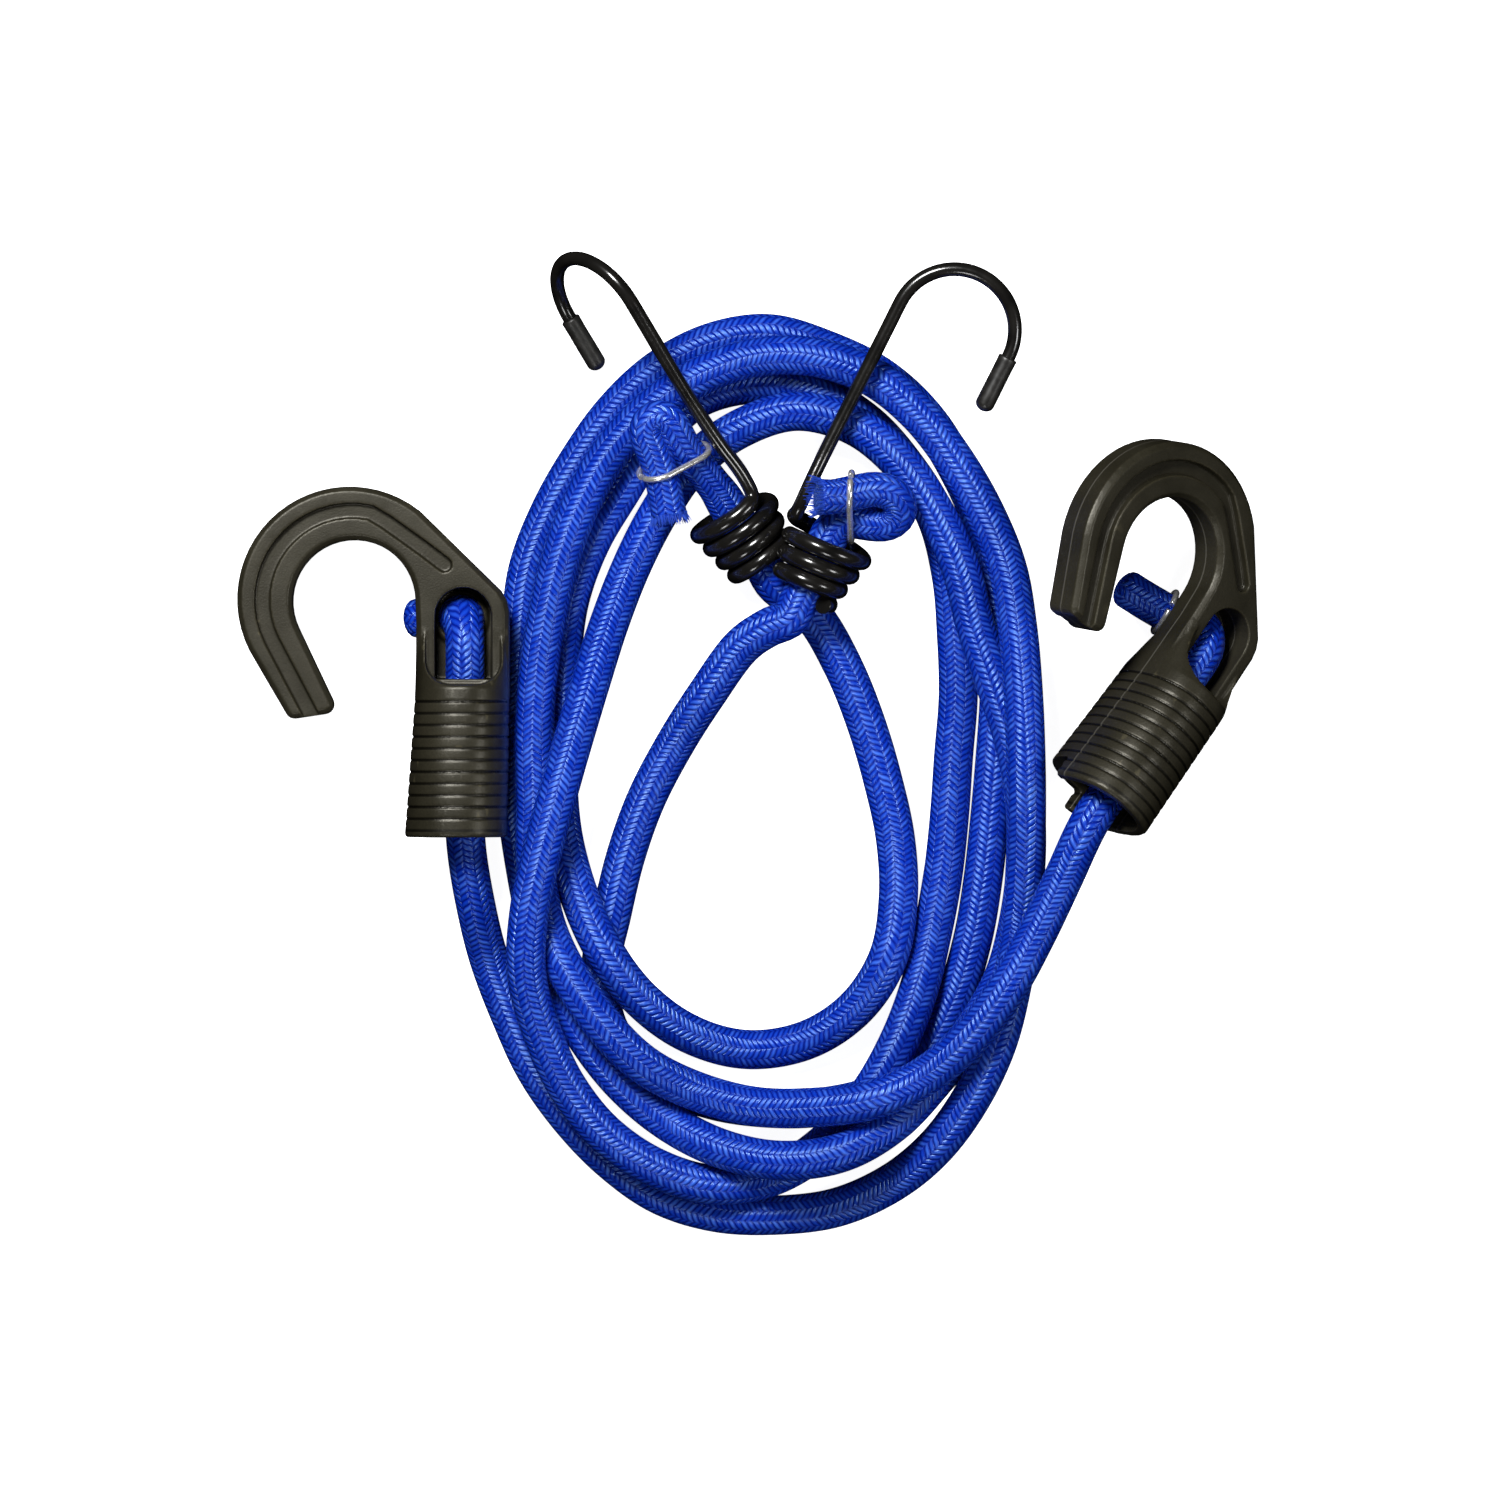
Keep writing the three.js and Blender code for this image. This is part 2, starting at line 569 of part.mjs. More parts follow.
// Assembly
const frames = {
  left_moulded_hook: hookFrame(LEFT_MOULDED),
  right_moulded_hook: hookFrame(RIGHT_MOULDED),
  left_wire_hook: hookFrame(LEFT_WIRE),
  right_wire_hook: hookFrame(RIGHT_WIRE),
};
const onAxis = (frame, up) => V(0, up, 0).applyMatrix4(frame);

function heldRings(points) {
  return points.map((p) => ({ x: p.x, y: p.y, z: p.z, held: true }));
}

// Cord ends inside the grips and the coils stand on the hooks' axes.
const leftGrip = [SPLIT_AT, 20, 10].map((up) => onAxis(frames.left_moulded_hook, up));
leftGrip.push(V(-70.6, -24, 17.4));
const rightGrip = [-4, 8, 20, SPLIT_AT].map((up) => onAxis(frames.right_moulded_hook, up));
const rightCoil = [-6, -12, -18, -23].map((up) => onAxis(frames.right_wire_hook, up));
rightCoil.push(V(4.5, 29.5, 18.4), V(-2, 25, 15));
const leftCoil = [-22, -17, -11, -5].map((up) => onAxis(frames.left_wire_hook, up));
leftCoil.unshift(V(15.5, 33, 5.6));

function buildRun(head, list, tail) {
  const first = head[head.length - 1];
  const last = tail[0];
  const rank = (p) => p[2];
  const plan = [
    [first.x, first.y, rank(list[0])], ...list, [last.x, last.y, rank(list[list.length - 1])],
  ];
  const rings = runRings(plan, RING_STEP);
  const end = rings[rings.length - 1];
  rings[0].z = first.z;
  rings[0].held = true;
  end.z = last.z;
  end.held = true;
  return rings;
}

const mouldedRings = buildRun(leftGrip, MOULDED_RUN, rightGrip);
const wireRings = buildRun(rightCoil, WIRE_RUN, leftCoil);
settle([mouldedRings, wireRings]);

const toPoint = (ring) => V(ring.x, ring.y, ring.z);
const smooth = (points) => new THREE.CatmullRomCurve3(points, false, "centripetal");
const knotCurve = (points, count) => smooth(points).getSpacedPoints(count);
const curveLength = (points) => smooth(points).getLength();
const rightKnot = knotCurve([...RIGHT_KNOT.map((p) => V(...p))].reverse(), 14);
const leftKnot = knotCurve(LEFT_KNOT.map((p) => V(...p)), 14);

const mouldedLine = [...leftGrip, ...mouldedRings.slice(1, -1).map(toPoint), ...rightGrip];
const wireLineMiddle = [...rightCoil, ...wireRings.slice(1, -1).map(toPoint), ...leftCoil];
const wireCentres = [...rightKnot, ...wireLineMiddle, ...leftKnot];
const knotted = (k) => k < rightKnot.length || k >= wireCentres.length - leftKnot.length;

const report = leastGap([
  { centres: mouldedLine, radius: () => CORD_RADIUS },
  { centres: wireCentres, radius: (k) => (knotted(k) ? KNOT_RADIUS : CORD_RADIUS) },
]);
console.log(`least gap between strands ${report.gap.toFixed(2)} mm`);
console.log(`at ${report.a.toArray().map((n) => n.toFixed(0))} and ${report.b.toArray().map((n) => n.toFixed(0))}`);
console.log(`highest strand ${Math.max(...mouldedRings.map((r) => r.z), ...wireRings.map((r) => r.z)).toFixed(1)} mm`);

const object = new THREE.Group();
object.name = "bungee_cord_bundle";

object.add(part("moulded_cord_sheath", hose(mouldedLine, CORD_RADIUS, SHEATH_BORE, CORD_SIDES), blue));
object.add(part("moulded_cord_core", rod(mouldedLine, CORE_RADIUS, CORD_SIDES), rubber));
const sheathRadius = (k) => (knotted(k) ? KNOT_RADIUS : CORD_RADIUS);
const boreRadius = (k) => (knotted(k) ? KNOT_BORE : SHEATH_BORE);
const coreRadius = (k) => (knotted(k) ? KNOT_CORE : CORE_RADIUS);
object.add(part("wire_cord_sheath", hose(wireCentres, sheathRadius, boreRadius, CORD_SIDES), blue));
object.add(part("wire_cord_core", rod(wireCentres, coreRadius, CORD_SIDES), rubber));

const hookShape = toGeometry(mouldedHook());
for (const sideName of ["left", "right"]) {
  const fold = [...FOLD, ...FOLD_TAIL[sideName]].map((p) => V(...p));
  const foldLine = knotCurve(fold, Math.round(curveLength(fold) / FOLD_STEP));
  foldLine[0].y = SPLIT_AT + SPLIT_GAP;
  const foldRing = foldLine.findIndex((p) => p.x < FOLD_RING_SIDE);
  const mouldedFrame = frames[`${sideName}_moulded_hook`];
  const wireFrame = frames[`${sideName}_wire_hook`];
  const across = V(1, 0, 0);
  const foldSheath = hose(foldLine, FOLD_RADIUS, FOLD_BORE, CORD_SIDES, across);
  const foldCore = rod(foldLine, FOLD_CORE, CORD_SIDES, across);
  const centre = foldLine[foldRing];
  const along = foldLine[foldRing + 1].clone().sub(foldLine[foldRing - 1]).normalize();
  const ringSide = V(0, 1, 0).cross(along).normalize();
  const ringUp = along.clone().cross(ringSide);
  const ringReach = FOLD_RADIUS + RING_CLEAR + RING_WIRE;
  const ring = clampRing(centre, ringSide, ringUp, ringReach, 0);
  const placed = [
    part(`${sideName}_moulded_hook`, hookShape.clone(), moulding),
    part(`${sideName}_fold_sheath`, foldSheath, blue),
    part(`${sideName}_fold_core`, foldCore, rubber),
    part(`${sideName}_fold_ring`, ring, steel),
  ];
  for (const mesh of placed) {
    mesh.applyMatrix4(mouldedFrame);
    object.add(mesh);
  }
  const wire = part(`${sideName}_wire_hook`, bentRod(wireLine(), wireRadius, WIRE_SIDES), coating);
  const cap = part(`${sideName}_tip_cap`, tipCap(), vinyl);
  for (const mesh of [wire, cap]) {
    mesh.applyMatrix4(wireFrame);
    object.add(mesh);
  }
}

// Rings round the two legs of each wire knot.
function knotRing(name, legA, legB, flow) {
  const centre = legA.clone().lerp(legB, 0.5);
  const longAxis = legB.clone().sub(legA).normalize();
  const apart = legA.distanceTo(legB);
  const shortAxis = flow.normalize().cross(longAxis).normalize();
  const reach = KNOT_RADIUS + RING_CLEAR + RING_WIRE + KNOT_SLACK;
  return part(name, clampRing(centre, longAxis, shortAxis, reach, apart), steel);
}
object.add(knotRing("left_knot_ring", V(-15.2, 72.8, 22.1), V(-22.7, 69.3, 26), V(-0.47, 0.73, 0.57)));
object.add(knotRing("right_knot_ring", V(25.2, 56, 22.1), V(25, 63.2, 28.6), V(1, -0.1, 0)));

// The origin is the middle of the whole bundle's box on the floor.
object.position.set(-ORIGIN_X, -ORIGIN_Y, 0);

export default object;
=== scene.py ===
"""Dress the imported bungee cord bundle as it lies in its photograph.

Two braided elastic cords lie coiled together on a white floor. One ends in moulded plastic hooks, the other
in coated wire hooks. Lengths are in metres. The cords' routes and the hooks' places repeat those of the
part's source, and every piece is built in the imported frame.
"""

from __future__ import annotations

import json
import logging
import math
import random
from collections.abc import Sequence
from dataclasses import dataclass, field
from enum import Enum
from typing import NamedTuple

import bmesh
import bpy
import numpy as np
from mathutils import Matrix, Vector

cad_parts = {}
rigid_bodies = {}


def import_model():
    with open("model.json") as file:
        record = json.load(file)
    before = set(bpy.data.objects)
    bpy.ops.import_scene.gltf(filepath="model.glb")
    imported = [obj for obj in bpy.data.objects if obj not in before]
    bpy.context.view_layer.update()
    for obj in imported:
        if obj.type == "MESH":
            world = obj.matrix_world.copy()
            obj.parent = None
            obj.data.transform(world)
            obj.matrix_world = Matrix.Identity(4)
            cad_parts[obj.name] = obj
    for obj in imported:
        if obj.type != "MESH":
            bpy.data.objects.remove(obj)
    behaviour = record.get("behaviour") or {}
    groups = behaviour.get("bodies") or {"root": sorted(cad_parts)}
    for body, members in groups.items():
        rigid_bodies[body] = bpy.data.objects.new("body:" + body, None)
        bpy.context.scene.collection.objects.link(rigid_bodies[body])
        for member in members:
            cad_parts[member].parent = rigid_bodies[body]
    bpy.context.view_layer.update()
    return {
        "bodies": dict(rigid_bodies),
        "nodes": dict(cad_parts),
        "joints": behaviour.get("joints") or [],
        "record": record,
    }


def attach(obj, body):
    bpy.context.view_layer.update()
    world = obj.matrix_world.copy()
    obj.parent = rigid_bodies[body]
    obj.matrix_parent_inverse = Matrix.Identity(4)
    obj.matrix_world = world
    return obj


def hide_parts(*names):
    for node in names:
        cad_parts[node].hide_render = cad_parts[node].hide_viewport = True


LOG = logging.getLogger("bundle")
Route = tuple[tuple[float, float, float], ...]
Colour = tuple[float, float, float]

# Middle of the laid-out bundle, taken off every place in the lists below
ORIGIN = Vector((-0.0003, 0.00037, 0.0))

# Name of the attribute that keeps a moulded point's place in its hook's frame
MOULD_ATTRIBUTE = "mould_place"

# Centre line of the cord with moulded hooks: x, y and a rank, where the higher rank lies on top
MOULDED_RUN: Route = (
    (-0.07, -0.0315, 0.2), (-0.067, -0.0445, 0.2), (-0.064, -0.057, 0.2), (-0.058, -0.071, 0.2),
    (-0.051, -0.085, 0.2), (-0.041, -0.097, 0.2), (-0.029, -0.108, 0.2), (-0.015, -0.115, 0.2),
    (0.0025, -0.117, 0.2), (0.02, -0.1155, 0.2), (0.035, -0.109, 2.3), (0.048, -0.0975, 2.3),
    (0.057, -0.0835, 2.3), (0.0625, -0.07, 2.4), (0.066, -0.0535, 2.6), (0.068, -0.036, 2.6),
    (0.0685, -0.016, 2.6), (0.068, 0.0065, 2.6), (0.0667, 0.0265, 2.6), (0.064, 0.044, 2.6),
    (0.0575, 0.06, 2.6), (0.0485, 0.0745, 2.6), (0.038, 0.0865, 2.6), (0.025, 0.0945, 2.6),
    (0.009, 0.0975, 2.6), (-0.006, 0.095, 2.6), (-0.02, 0.0875, 2.6), (-0.0315, 0.0775, 2.6),
    (-0.04, 0.0645, 2.4), (-0.046, 0.0505, 2.2), (-0.05, 0.035, 2.2), (-0.0525, 0.0205, 2.2),
    (-0.054, 0.0045, 2.2), (-0.0543, -0.0135, 2.2), (-0.054, -0.031, 2.2), (-0.05, -0.047, 2.6),
    (-0.0405, -0.0635, 2.8), (-0.0295, -0.0765, 3.0), (-0.015, -0.085, 3.2), (0.0025, -0.0895, 3.4),
    (0.02, -0.089, 3.6), (0.035, -0.086, 3.8), (0.0475, -0.0785, 4.0), (0.059, -0.0665, 4.2),
    (0.068, -0.052, 4.4), (0.0755, -0.037, 4.4),
)
# Centre line of the cord with wire hooks, in the same form
WIRE_RUN: Route = (
    (-0.0115, 0.012, 0.2), (-0.0205, -0.0025, 0.1), (-0.028, -0.018, 0.1), (-0.0325, -0.033, 0.1),
    (-0.0355, -0.047, 0.1), (-0.0375, -0.0595, 0.1), (-0.035, -0.071, 0.1), (-0.0275, -0.0795, 0.1),
    (-0.015, -0.0865, 0.1), (0.001, -0.09, 0.1), (0.0175, -0.09, 0.1), (0.03, -0.0875, 0.1),
    (0.0405, -0.08, 0.1), (0.048, -0.0695, 0.1), (0.0535, -0.056, 0.1), (0.057, -0.041, 0.1),
    (0.059, -0.026, 0.1), (0.0605, -0.011, 0.1), (0.0615, 0.0015, 0.1), (0.0625, 0.019, 0.1),
    (0.062, 0.0365, 0.1), (0.0585, 0.054, 0.1), (0.0515, 0.07, 0.1), (0.0425, 0.0835, 0.1),
    (0.0285, 0.095, 0.1), (0.0125, 0.101, 0.1), (0.0, 0.1035, 0.1), (-0.013, 0.0995, 0.1),
    (-0.025, 0.0925, 0.1), (-0.035, 0.0825, 0.1), (-0.044, 0.0695, 0.1), (-0.0515, 0.0555, 0.1),
    (-0.055, 0.0465, 0.1), (-0.056, 0.039, 0.1), (-0.058, 0.024, 0.1), (-0.0585, 0.0065, 0.1),
    (-0.0585, -0.011, 0.1), (-0.057, -0.0245, 0.1), (-0.055, -0.036, 0.1), (-0.051, -0.052, 1.4),
    (-0.0425, -0.0695, 2.0), (-0.031, -0.0845, 2.0), (-0.016, -0.096, 2.0), (0.001, -0.102, 2.0),
    (0.0175, -0.102, 2.0), (0.0315, -0.0965, 2.0), (0.0425, -0.0865, 2.0), (0.051, -0.0765, 2.0),
    (0.0595, -0.065, 2.0), (0.0655, -0.051, 2.0), (0.068, -0.036, 2.0), (0.069, -0.0235, 2.0),
    (0.068, -0.011, 2.0), (0.0655, 0.0015, 2.0), (0.0615, 0.014, 2.0), (0.057, 0.0265, 2.0),
    (0.0525, 0.044, 2.0), (0.044, 0.0615, 2.0), (0.033, 0.075, 2.0), (0.0205, 0.082, 2.0),
    (0.006, 0.083, 2.0), (-0.0065, 0.0765, 2.2), (-0.0175, 0.067, 2.6), (-0.025, 0.054, 3.0),
    (-0.032, 0.0395, 3.2), (-0.037, 0.0245, 3.4), (-0.042, 0.008, 3.4), (-0.047, -0.0095, 3.4),
    (-0.0515, -0.026, 3.4), (-0.055, -0.0435, 3.4), (-0.055, -0.0595, 3.2), (-0.0495, -0.076, 2.6),
    (-0.0415, -0.0905, 2.2), (-0.0285, -0.102, 1.4), (-0.013, -0.1085, 1.1), (0.001, -0.1085, 1.1),
    (0.0125, -0.1035, 1.1), (0.024, -0.0935, 1.1), (0.033, -0.081, 1.0), (0.04, -0.0665, 1.0),
    (0.044, -0.053, 1.0), (0.047, -0.0385, 1.0), (0.049, -0.026, 1.0), (0.0505, -0.006, 1.0),
    (0.052, 0.014, 1.0), (0.051, 0.034, 1.0), (0.0485, 0.052, 1.0), (0.0405, 0.0675, 1.0),
    (0.03, 0.08, 1.0), (0.0165, 0.0882, 1.0), (0.001, 0.0905, 1.0), (-0.012, 0.0875, 1.0),
    (-0.024, 0.0765, 1.0), (-0.0335, 0.0615, 1.0), (-0.043, 0.044, 1.0), (-0.0465, 0.0265, 1.0),
    (-0.0478, 0.009, 1.0), (-0.048, -0.006, 1.0), (-0.0475, -0.017, 1.0), (-0.0455, -0.027, 1.0),
    (-0.04, -0.0435, 1.0), (-0.031, -0.0585, 1.0), (-0.019, -0.0695, 1.0), (-0.0025, -0.0755, 1.0),
    (0.0135, -0.0735, 1.0), (0.0255, -0.066, 1.0), (0.034, -0.0535, 1.0), (0.037, -0.037, 1.0),
    (0.036, -0.021, 1.0), (0.0325, -0.006, 1.0), (0.028, 0.0085, 1.0), (0.022, 0.0225, 1.0),
)
# Folded ends of the wire hooks' cord, from the coil's mouth outward: x, y, z
LEFT_KNOT: Route = (
    (-0.0075, 0.063, 0.014), (-0.0114, 0.0682, 0.0182), (-0.0153, 0.0734, 0.023), (-0.018, 0.079, 0.026),
    (-0.021, 0.0832, 0.0272), (-0.025, 0.083, 0.0274), (-0.0273, 0.079, 0.0272), (-0.025, 0.0735, 0.0266),
    (-0.0225, 0.068, 0.026), (-0.021, 0.0625, 0.0255), (-0.02, 0.057, 0.0252),
)
# The right one, in the same form
RIGHT_KNOT: Route = (
    (0.0207, 0.0542, 0.0222), (0.0232, 0.0561, 0.0222), (0.028, 0.0552, 0.0218), (0.033, 0.0542, 0.0216),
    (0.037, 0.0556, 0.0226), (0.0385, 0.0596, 0.025), (0.0358, 0.0634, 0.0274), (0.0308, 0.0646, 0.0282),
    (0.025, 0.0632, 0.0286), (0.0205, 0.062, 0.0296), (0.0165, 0.062, 0.0305),
)
# Folded end in a moulded hook, in the hook's own frame: side, up, front
FOLD: Route = (
    (0.0, 0.0303, 0.0), (0.0, 0.036, 0.0), (0.0, 0.04, 0.0002), (0.0, 0.044, 0.0007), (0.0, 0.047, 0.0008),
    (-0.0001, 0.05, 0.0003), (-0.0005, 0.0534, -0.0022), (-0.0016, 0.055, -0.006),
    (-0.0042, 0.055, -0.0098),
)
# The two tails of such an end, where the right one is longer
LEFT_TAIL: Route = ((-0.0083, 0.0547, -0.0122), (-0.0128, 0.0545, -0.013))
RIGHT_TAIL: Route = ((-0.008, 0.0546, -0.0124), (-0.0125, 0.054, -0.0146), (-0.0175, 0.0535, -0.017))
# Heights on the hooks' long axes where the cords pass through grips and coils
LEFT_GRIP_STATIONS = (0.020, 0.010)
RIGHT_GRIP_STATIONS = (-0.004, 0.008, 0.020)
RIGHT_COIL_STATIONS = (-0.006, -0.012, -0.018, -0.023)
LEFT_COIL_STATIONS = (-0.022, -0.017, -0.011, -0.005)
# Held points just outside them: x, y, z
LEFT_GRIP_MOUTH = (-0.0706, -0.024, 0.0174)
RIGHT_COIL_MOUTH: Route = ((0.0045, 0.0295, 0.0184), (-0.002, 0.025, 0.015))
LEFT_COIL_MOUTH = (0.0155, 0.033, 0.0056)

# A direction that no line starts along, from which the first ring of a skin takes its side
FIRST_SIDE = (0.31, 0.52, 0.8)
# Turns in degrees at which the rings of a cord end's dome and of a cap's lie
DOME_TURNS = (20.0, 40.0, 58.0, 73.0, 84.0, 89.0)
CAP_TURNS = (15.0, 32.0, 50.0, 66.0, 80.0, 88.0)
# Shares of the way from station to station at which strands are checked against each other
BEAD_SHARES = (0.0, 1 / 3, 2 / 3)
# Fewest steps that a smooth line is cut into
LEAST_STEPS = 4
# Start of the random draws for the frayed ends
FRAY_SEED = 41


class Slot(Enum):
    """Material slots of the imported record."""

    BRAID = "braid"
    MOULDING = "moulding"
    WIRE = "coated_wire"
    VINYL = "vinyl"
    STEEL = "ring_steel"


class Side(Enum):
    """The two ends of each cord, as the photograph shows them."""

    LEFT = "left"
    RIGHT = "right"


@dataclass(frozen=True)
class HookPose:
    """Where a hook lies: its origin, and the turn, rise and roll of its long axis in degrees."""

    at: tuple[float, float, float]
    turn: float
    rise: float
    roll: float

    def matrix(self) -> Matrix:
        """Give the hook's own frame.

        Returns:
            A matrix whose columns are the side, long and front axes and the origin.
        """
        turn = math.radians(self.turn)
        rise = math.radians(self.rise)
        roll = math.radians(self.roll)
        long = Vector((math.cos(rise) * math.cos(turn), math.cos(rise) * math.sin(turn), math.sin(rise)))
        level = Vector((math.sin(turn), -math.cos(turn), 0.0))
        over = level.cross(long)
        side = level * math.cos(roll) - over * math.sin(roll)
        front = side.cross(long)
        frame = Matrix((side, long, front)).transposed().to_4x4()
        frame.translation = Vector(self.at)
        return frame

    def on_axis(self, up: float) -> Vector:
        """Give a point on the hook's long axis.

        Args:
            up: How far along the axis.

        Returns:
            The point.
        """
        return self.matrix() @ Vector((0.0, up, 0.0))


MOULDED_POSES = {
    Side.LEFT: HookPose((-0.07075, -0.0225, 0.0198), 90.0, 0.0, 0.0),
    Side.RIGHT: HookPose((0.086, -0.0158, 0.031), 56.0, -17.0, 35.0),
}
WIRE_POSES = {
    Side.LEFT: HookPose((-0.005, 0.059, 0.0128), 121.0, 12.0, -60.0),
    Side.RIGHT: HookPose((0.02025, 0.0524, 0.022), 63.3, 5.0, 180.0),
}


class Spline:
    """A smooth centripetal curve through points."""

    def __init__(self, points: Sequence[Vector]) -> None:
        """Keep the points, with one more beyond each end.

        Args:
            points: The points that the curve passes through.
        """
        before = points[0] * 2 - points[1]
        after = points[-1] * 2 - points[-2]
        self.points = [before, *points, after]
        self.spans = len(points) - 1

    def at(self, span: int, t: float) -> Vector:
        """Give a point of the curve.

        Args:
            span: The number of the stretch between two points.
            t: How far along that stretch, from 0 to 1.

        Returns:
            The point.
        """
        p0, p1, p2, p3 = self.points[span : span + 4]
        d0 = math.sqrt((p1 - p0).length)
        d1 = math.sqrt((p2 - p1).length)
        d2 = math.sqrt((p3 - p2).length)
        m1 = ((p1 - p0) / d0 - (p2 - p0) / (d0 + d1) + (p2 - p1) / d1) * d1
        m2 = ((p2 - p1) / d1 - (p3 - p1) / (d1 + d2) + (p3 - p2) / d2) * d1
        cubic = p1 * 2 - p2 * 2 + m1 + m2
        square = p2 * 3 - p1 * 3 - m1 * 2 - m2
        return p1 + m1 * t + square * t * t + cubic * t * t * t

    def dense(self, per_span: int = 16) -> list[Vector]:
        """Give points at equal shares of every stretch.

        Args:
            per_span: How many points each stretch gets.

        Returns:
            The points, with the last end.
        """
        points = [self.at(i, k / per_span) for i in range(self.spans) for k in range(per_span)]
        return [*points, self.points[-2].copy()]

    def spaced(self, count: int) -> np.ndarray:
        """Give points at equal steps along the curve.

        Args:
            count: How many steps.

        Returns:
            An array of count + 1 points.
        """
        fine = np.array([tuple(p) for p in self.dense()])
        way = way_along(fine)
        steps = np.linspace(0.0, way[-1], count + 1)
        return np.stack([np.interp(steps, way, fine[:, axis]) for axis in range(3)], axis=1)

    def stepped(self, step: float) -> np.ndarray:
        """Give points about a step apart.

        Args:
            step: The step.

        Returns:
            The points.
        """
        length = way_along(np.array([tuple(p) for p in self.dense()]))[-1]
        return self.spaced(max(LEAST_STEPS, round(length / step)))


def way_along(line: np.ndarray) -> np.ndarray:
    """Measure how far along a line each of its points lies.

    Args:
        line: The points.

    Returns:
        The way from the first point to each.
    """
    return np.concatenate(([0.0], np.cumsum(np.linalg.norm(np.diff(line, axis=0), axis=1))))


def smooth_line(points: Sequence[Vector], step: float, shift: Matrix | None = None) -> np.ndarray:
    """Give closely spaced points of the smooth curve through points.

    Args:
        points: The points, in the lists' frame or a hook's own.
        step: About how far apart the new points lie.
        shift: The hook's frame, for points that are in it.

    Returns:
        The points in the frame's axes, with the origin taken off.
    """
    return Spline([(shift @ p if shift else p) - ORIGIN for p in points]).stepped(step)


@dataclass(frozen=True)
class CordLay:
    """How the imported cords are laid: radii, stations, and the humps where strands cross."""

    radius: float = 0.0048
    fold_radius: float = 0.0045
    sides: int = 6
    station: float = 0.015
    gap: float = 0.00055
    hump_slope: float = 0.62
    hump_round: float = 0.012
    knot_points: int = 14
    split_at: float = 0.030
    passes: int = 200
    own_share: float = 3.0
    least_short: float = 0.000005
    settled: float = 0.00001

    @property
    def floor_height(self) -> float:
        """Give the height of a strand's middle on the floor."""
        return self.radius * math.cos(math.pi / self.sides)

    @property
    def reach(self) -> float:
        """Give the distance of two strands' middles where they touch."""
        return 2 * self.radius + self.gap


LAY = CordLay()


class Strand:
    """One cord's free run: stations at equal steps, with a rank and a height each."""

    def __init__(self, head: Vector, run: Route, tail: Vector) -> None:
        """Space the stations along the curve through the run.

        Args:
            head: The held point before the run.
            run: The run's points and ranks.
            tail: The held point after it.
        """
        plan = [(head.x, head.y, run[0][2]), *run, (tail.x, tail.y, run[-1][2])]
        fine = Spline([Vector((x, y, 0.0)) for x, y, _ in plan]).dense()
        share = np.linspace(0.0, len(plan) - 1, len(fine))
        ranks = np.interp(share, np.arange(len(plan)), [p[2] for p in plan])
        flat = np.array([(p.x, p.y) for p in fine])
        way = way_along(flat)
        count = round(way[-1] / LAY.station)
        self.way = np.linspace(0.0, way[-1], count + 1)
        self.x = np.interp(self.way, way, flat[:, 0])
        self.y = np.interp(self.way, way, flat[:, 1])
        self.rank = np.interp(self.way, way, ranks)
        self.z = np.full(count + 1, LAY.floor_height)
        self.z[0] = head.z
        self.z[-1] = tail.z
        self.need = np.zeros(count + 1)
        apart = np.abs(self.way[:, None] - self.way[None, :])
        self.hump = LAY.hump_slope * (np.hypot(apart, LAY.hump_round) - LAY.hump_round)

    def relax(self) -> None:
        """Lift the free stations to long low humps over what they lie on."""
        source = self.need.copy()
        source[0] = self.z[0]
        source[-1] = self.z[-1]
        reach = (source[None, :] - self.hump).max(axis=1)
        self.z[1:-1] = np.maximum(self.z, reach)[1:-1]

    def beads(self, cord: int) -> np.ndarray:
        """Give check points along the run.

        Args:
            cord: The number of this cord.

        Returns:
            Rows of cord, station, share of the way to the next, x, y, way and rank.
        """
        rows = []
        station = np.arange(len(self.x) - 1, dtype=float)
        for t in BEAD_SHARES:
            mixed = [v[:-1] + t * (v[1:] - v[:-1]) for v in (self.x, self.y, self.way, self.rank)]
            head = [np.full_like(station, cord), station, np.full_like(station, t)]
            rows.append(np.stack([*head, *mixed], axis=1))
        return np.concatenate(rows)

    def height(self, bead: np.ndarray) -> float:
        """Give a check point's height.

        Args:
            bead: Its row.

        Returns:
            The height.
        """
        k = int(bead[1])
        return self.z[k] + bead[2] * (self.z[k + 1] - self.z[k])

    def press(self, bead: np.ndarray, short: float) -> None:
        """Ask for more height at a check point.

        Args:
            bead: Its row.
            short: How much it lacks.
        """
        k = int(bead[1])
        t = bead[2]
        share = short / ((1 - t) ** 2 + t**2)
        self.need[k] = max(self.need[k], self.z[k] + share * (1 - t))
        self.need[k + 1] = max(self.need[k + 1], self.z[k + 1] + share * t)

    def points(self) -> list[Vector]:
        """Give the free stations, without the two held ends."""
        return [Vector(p) for p in zip(self.x[1:-1], self.y[1:-1], self.z[1:-1])]


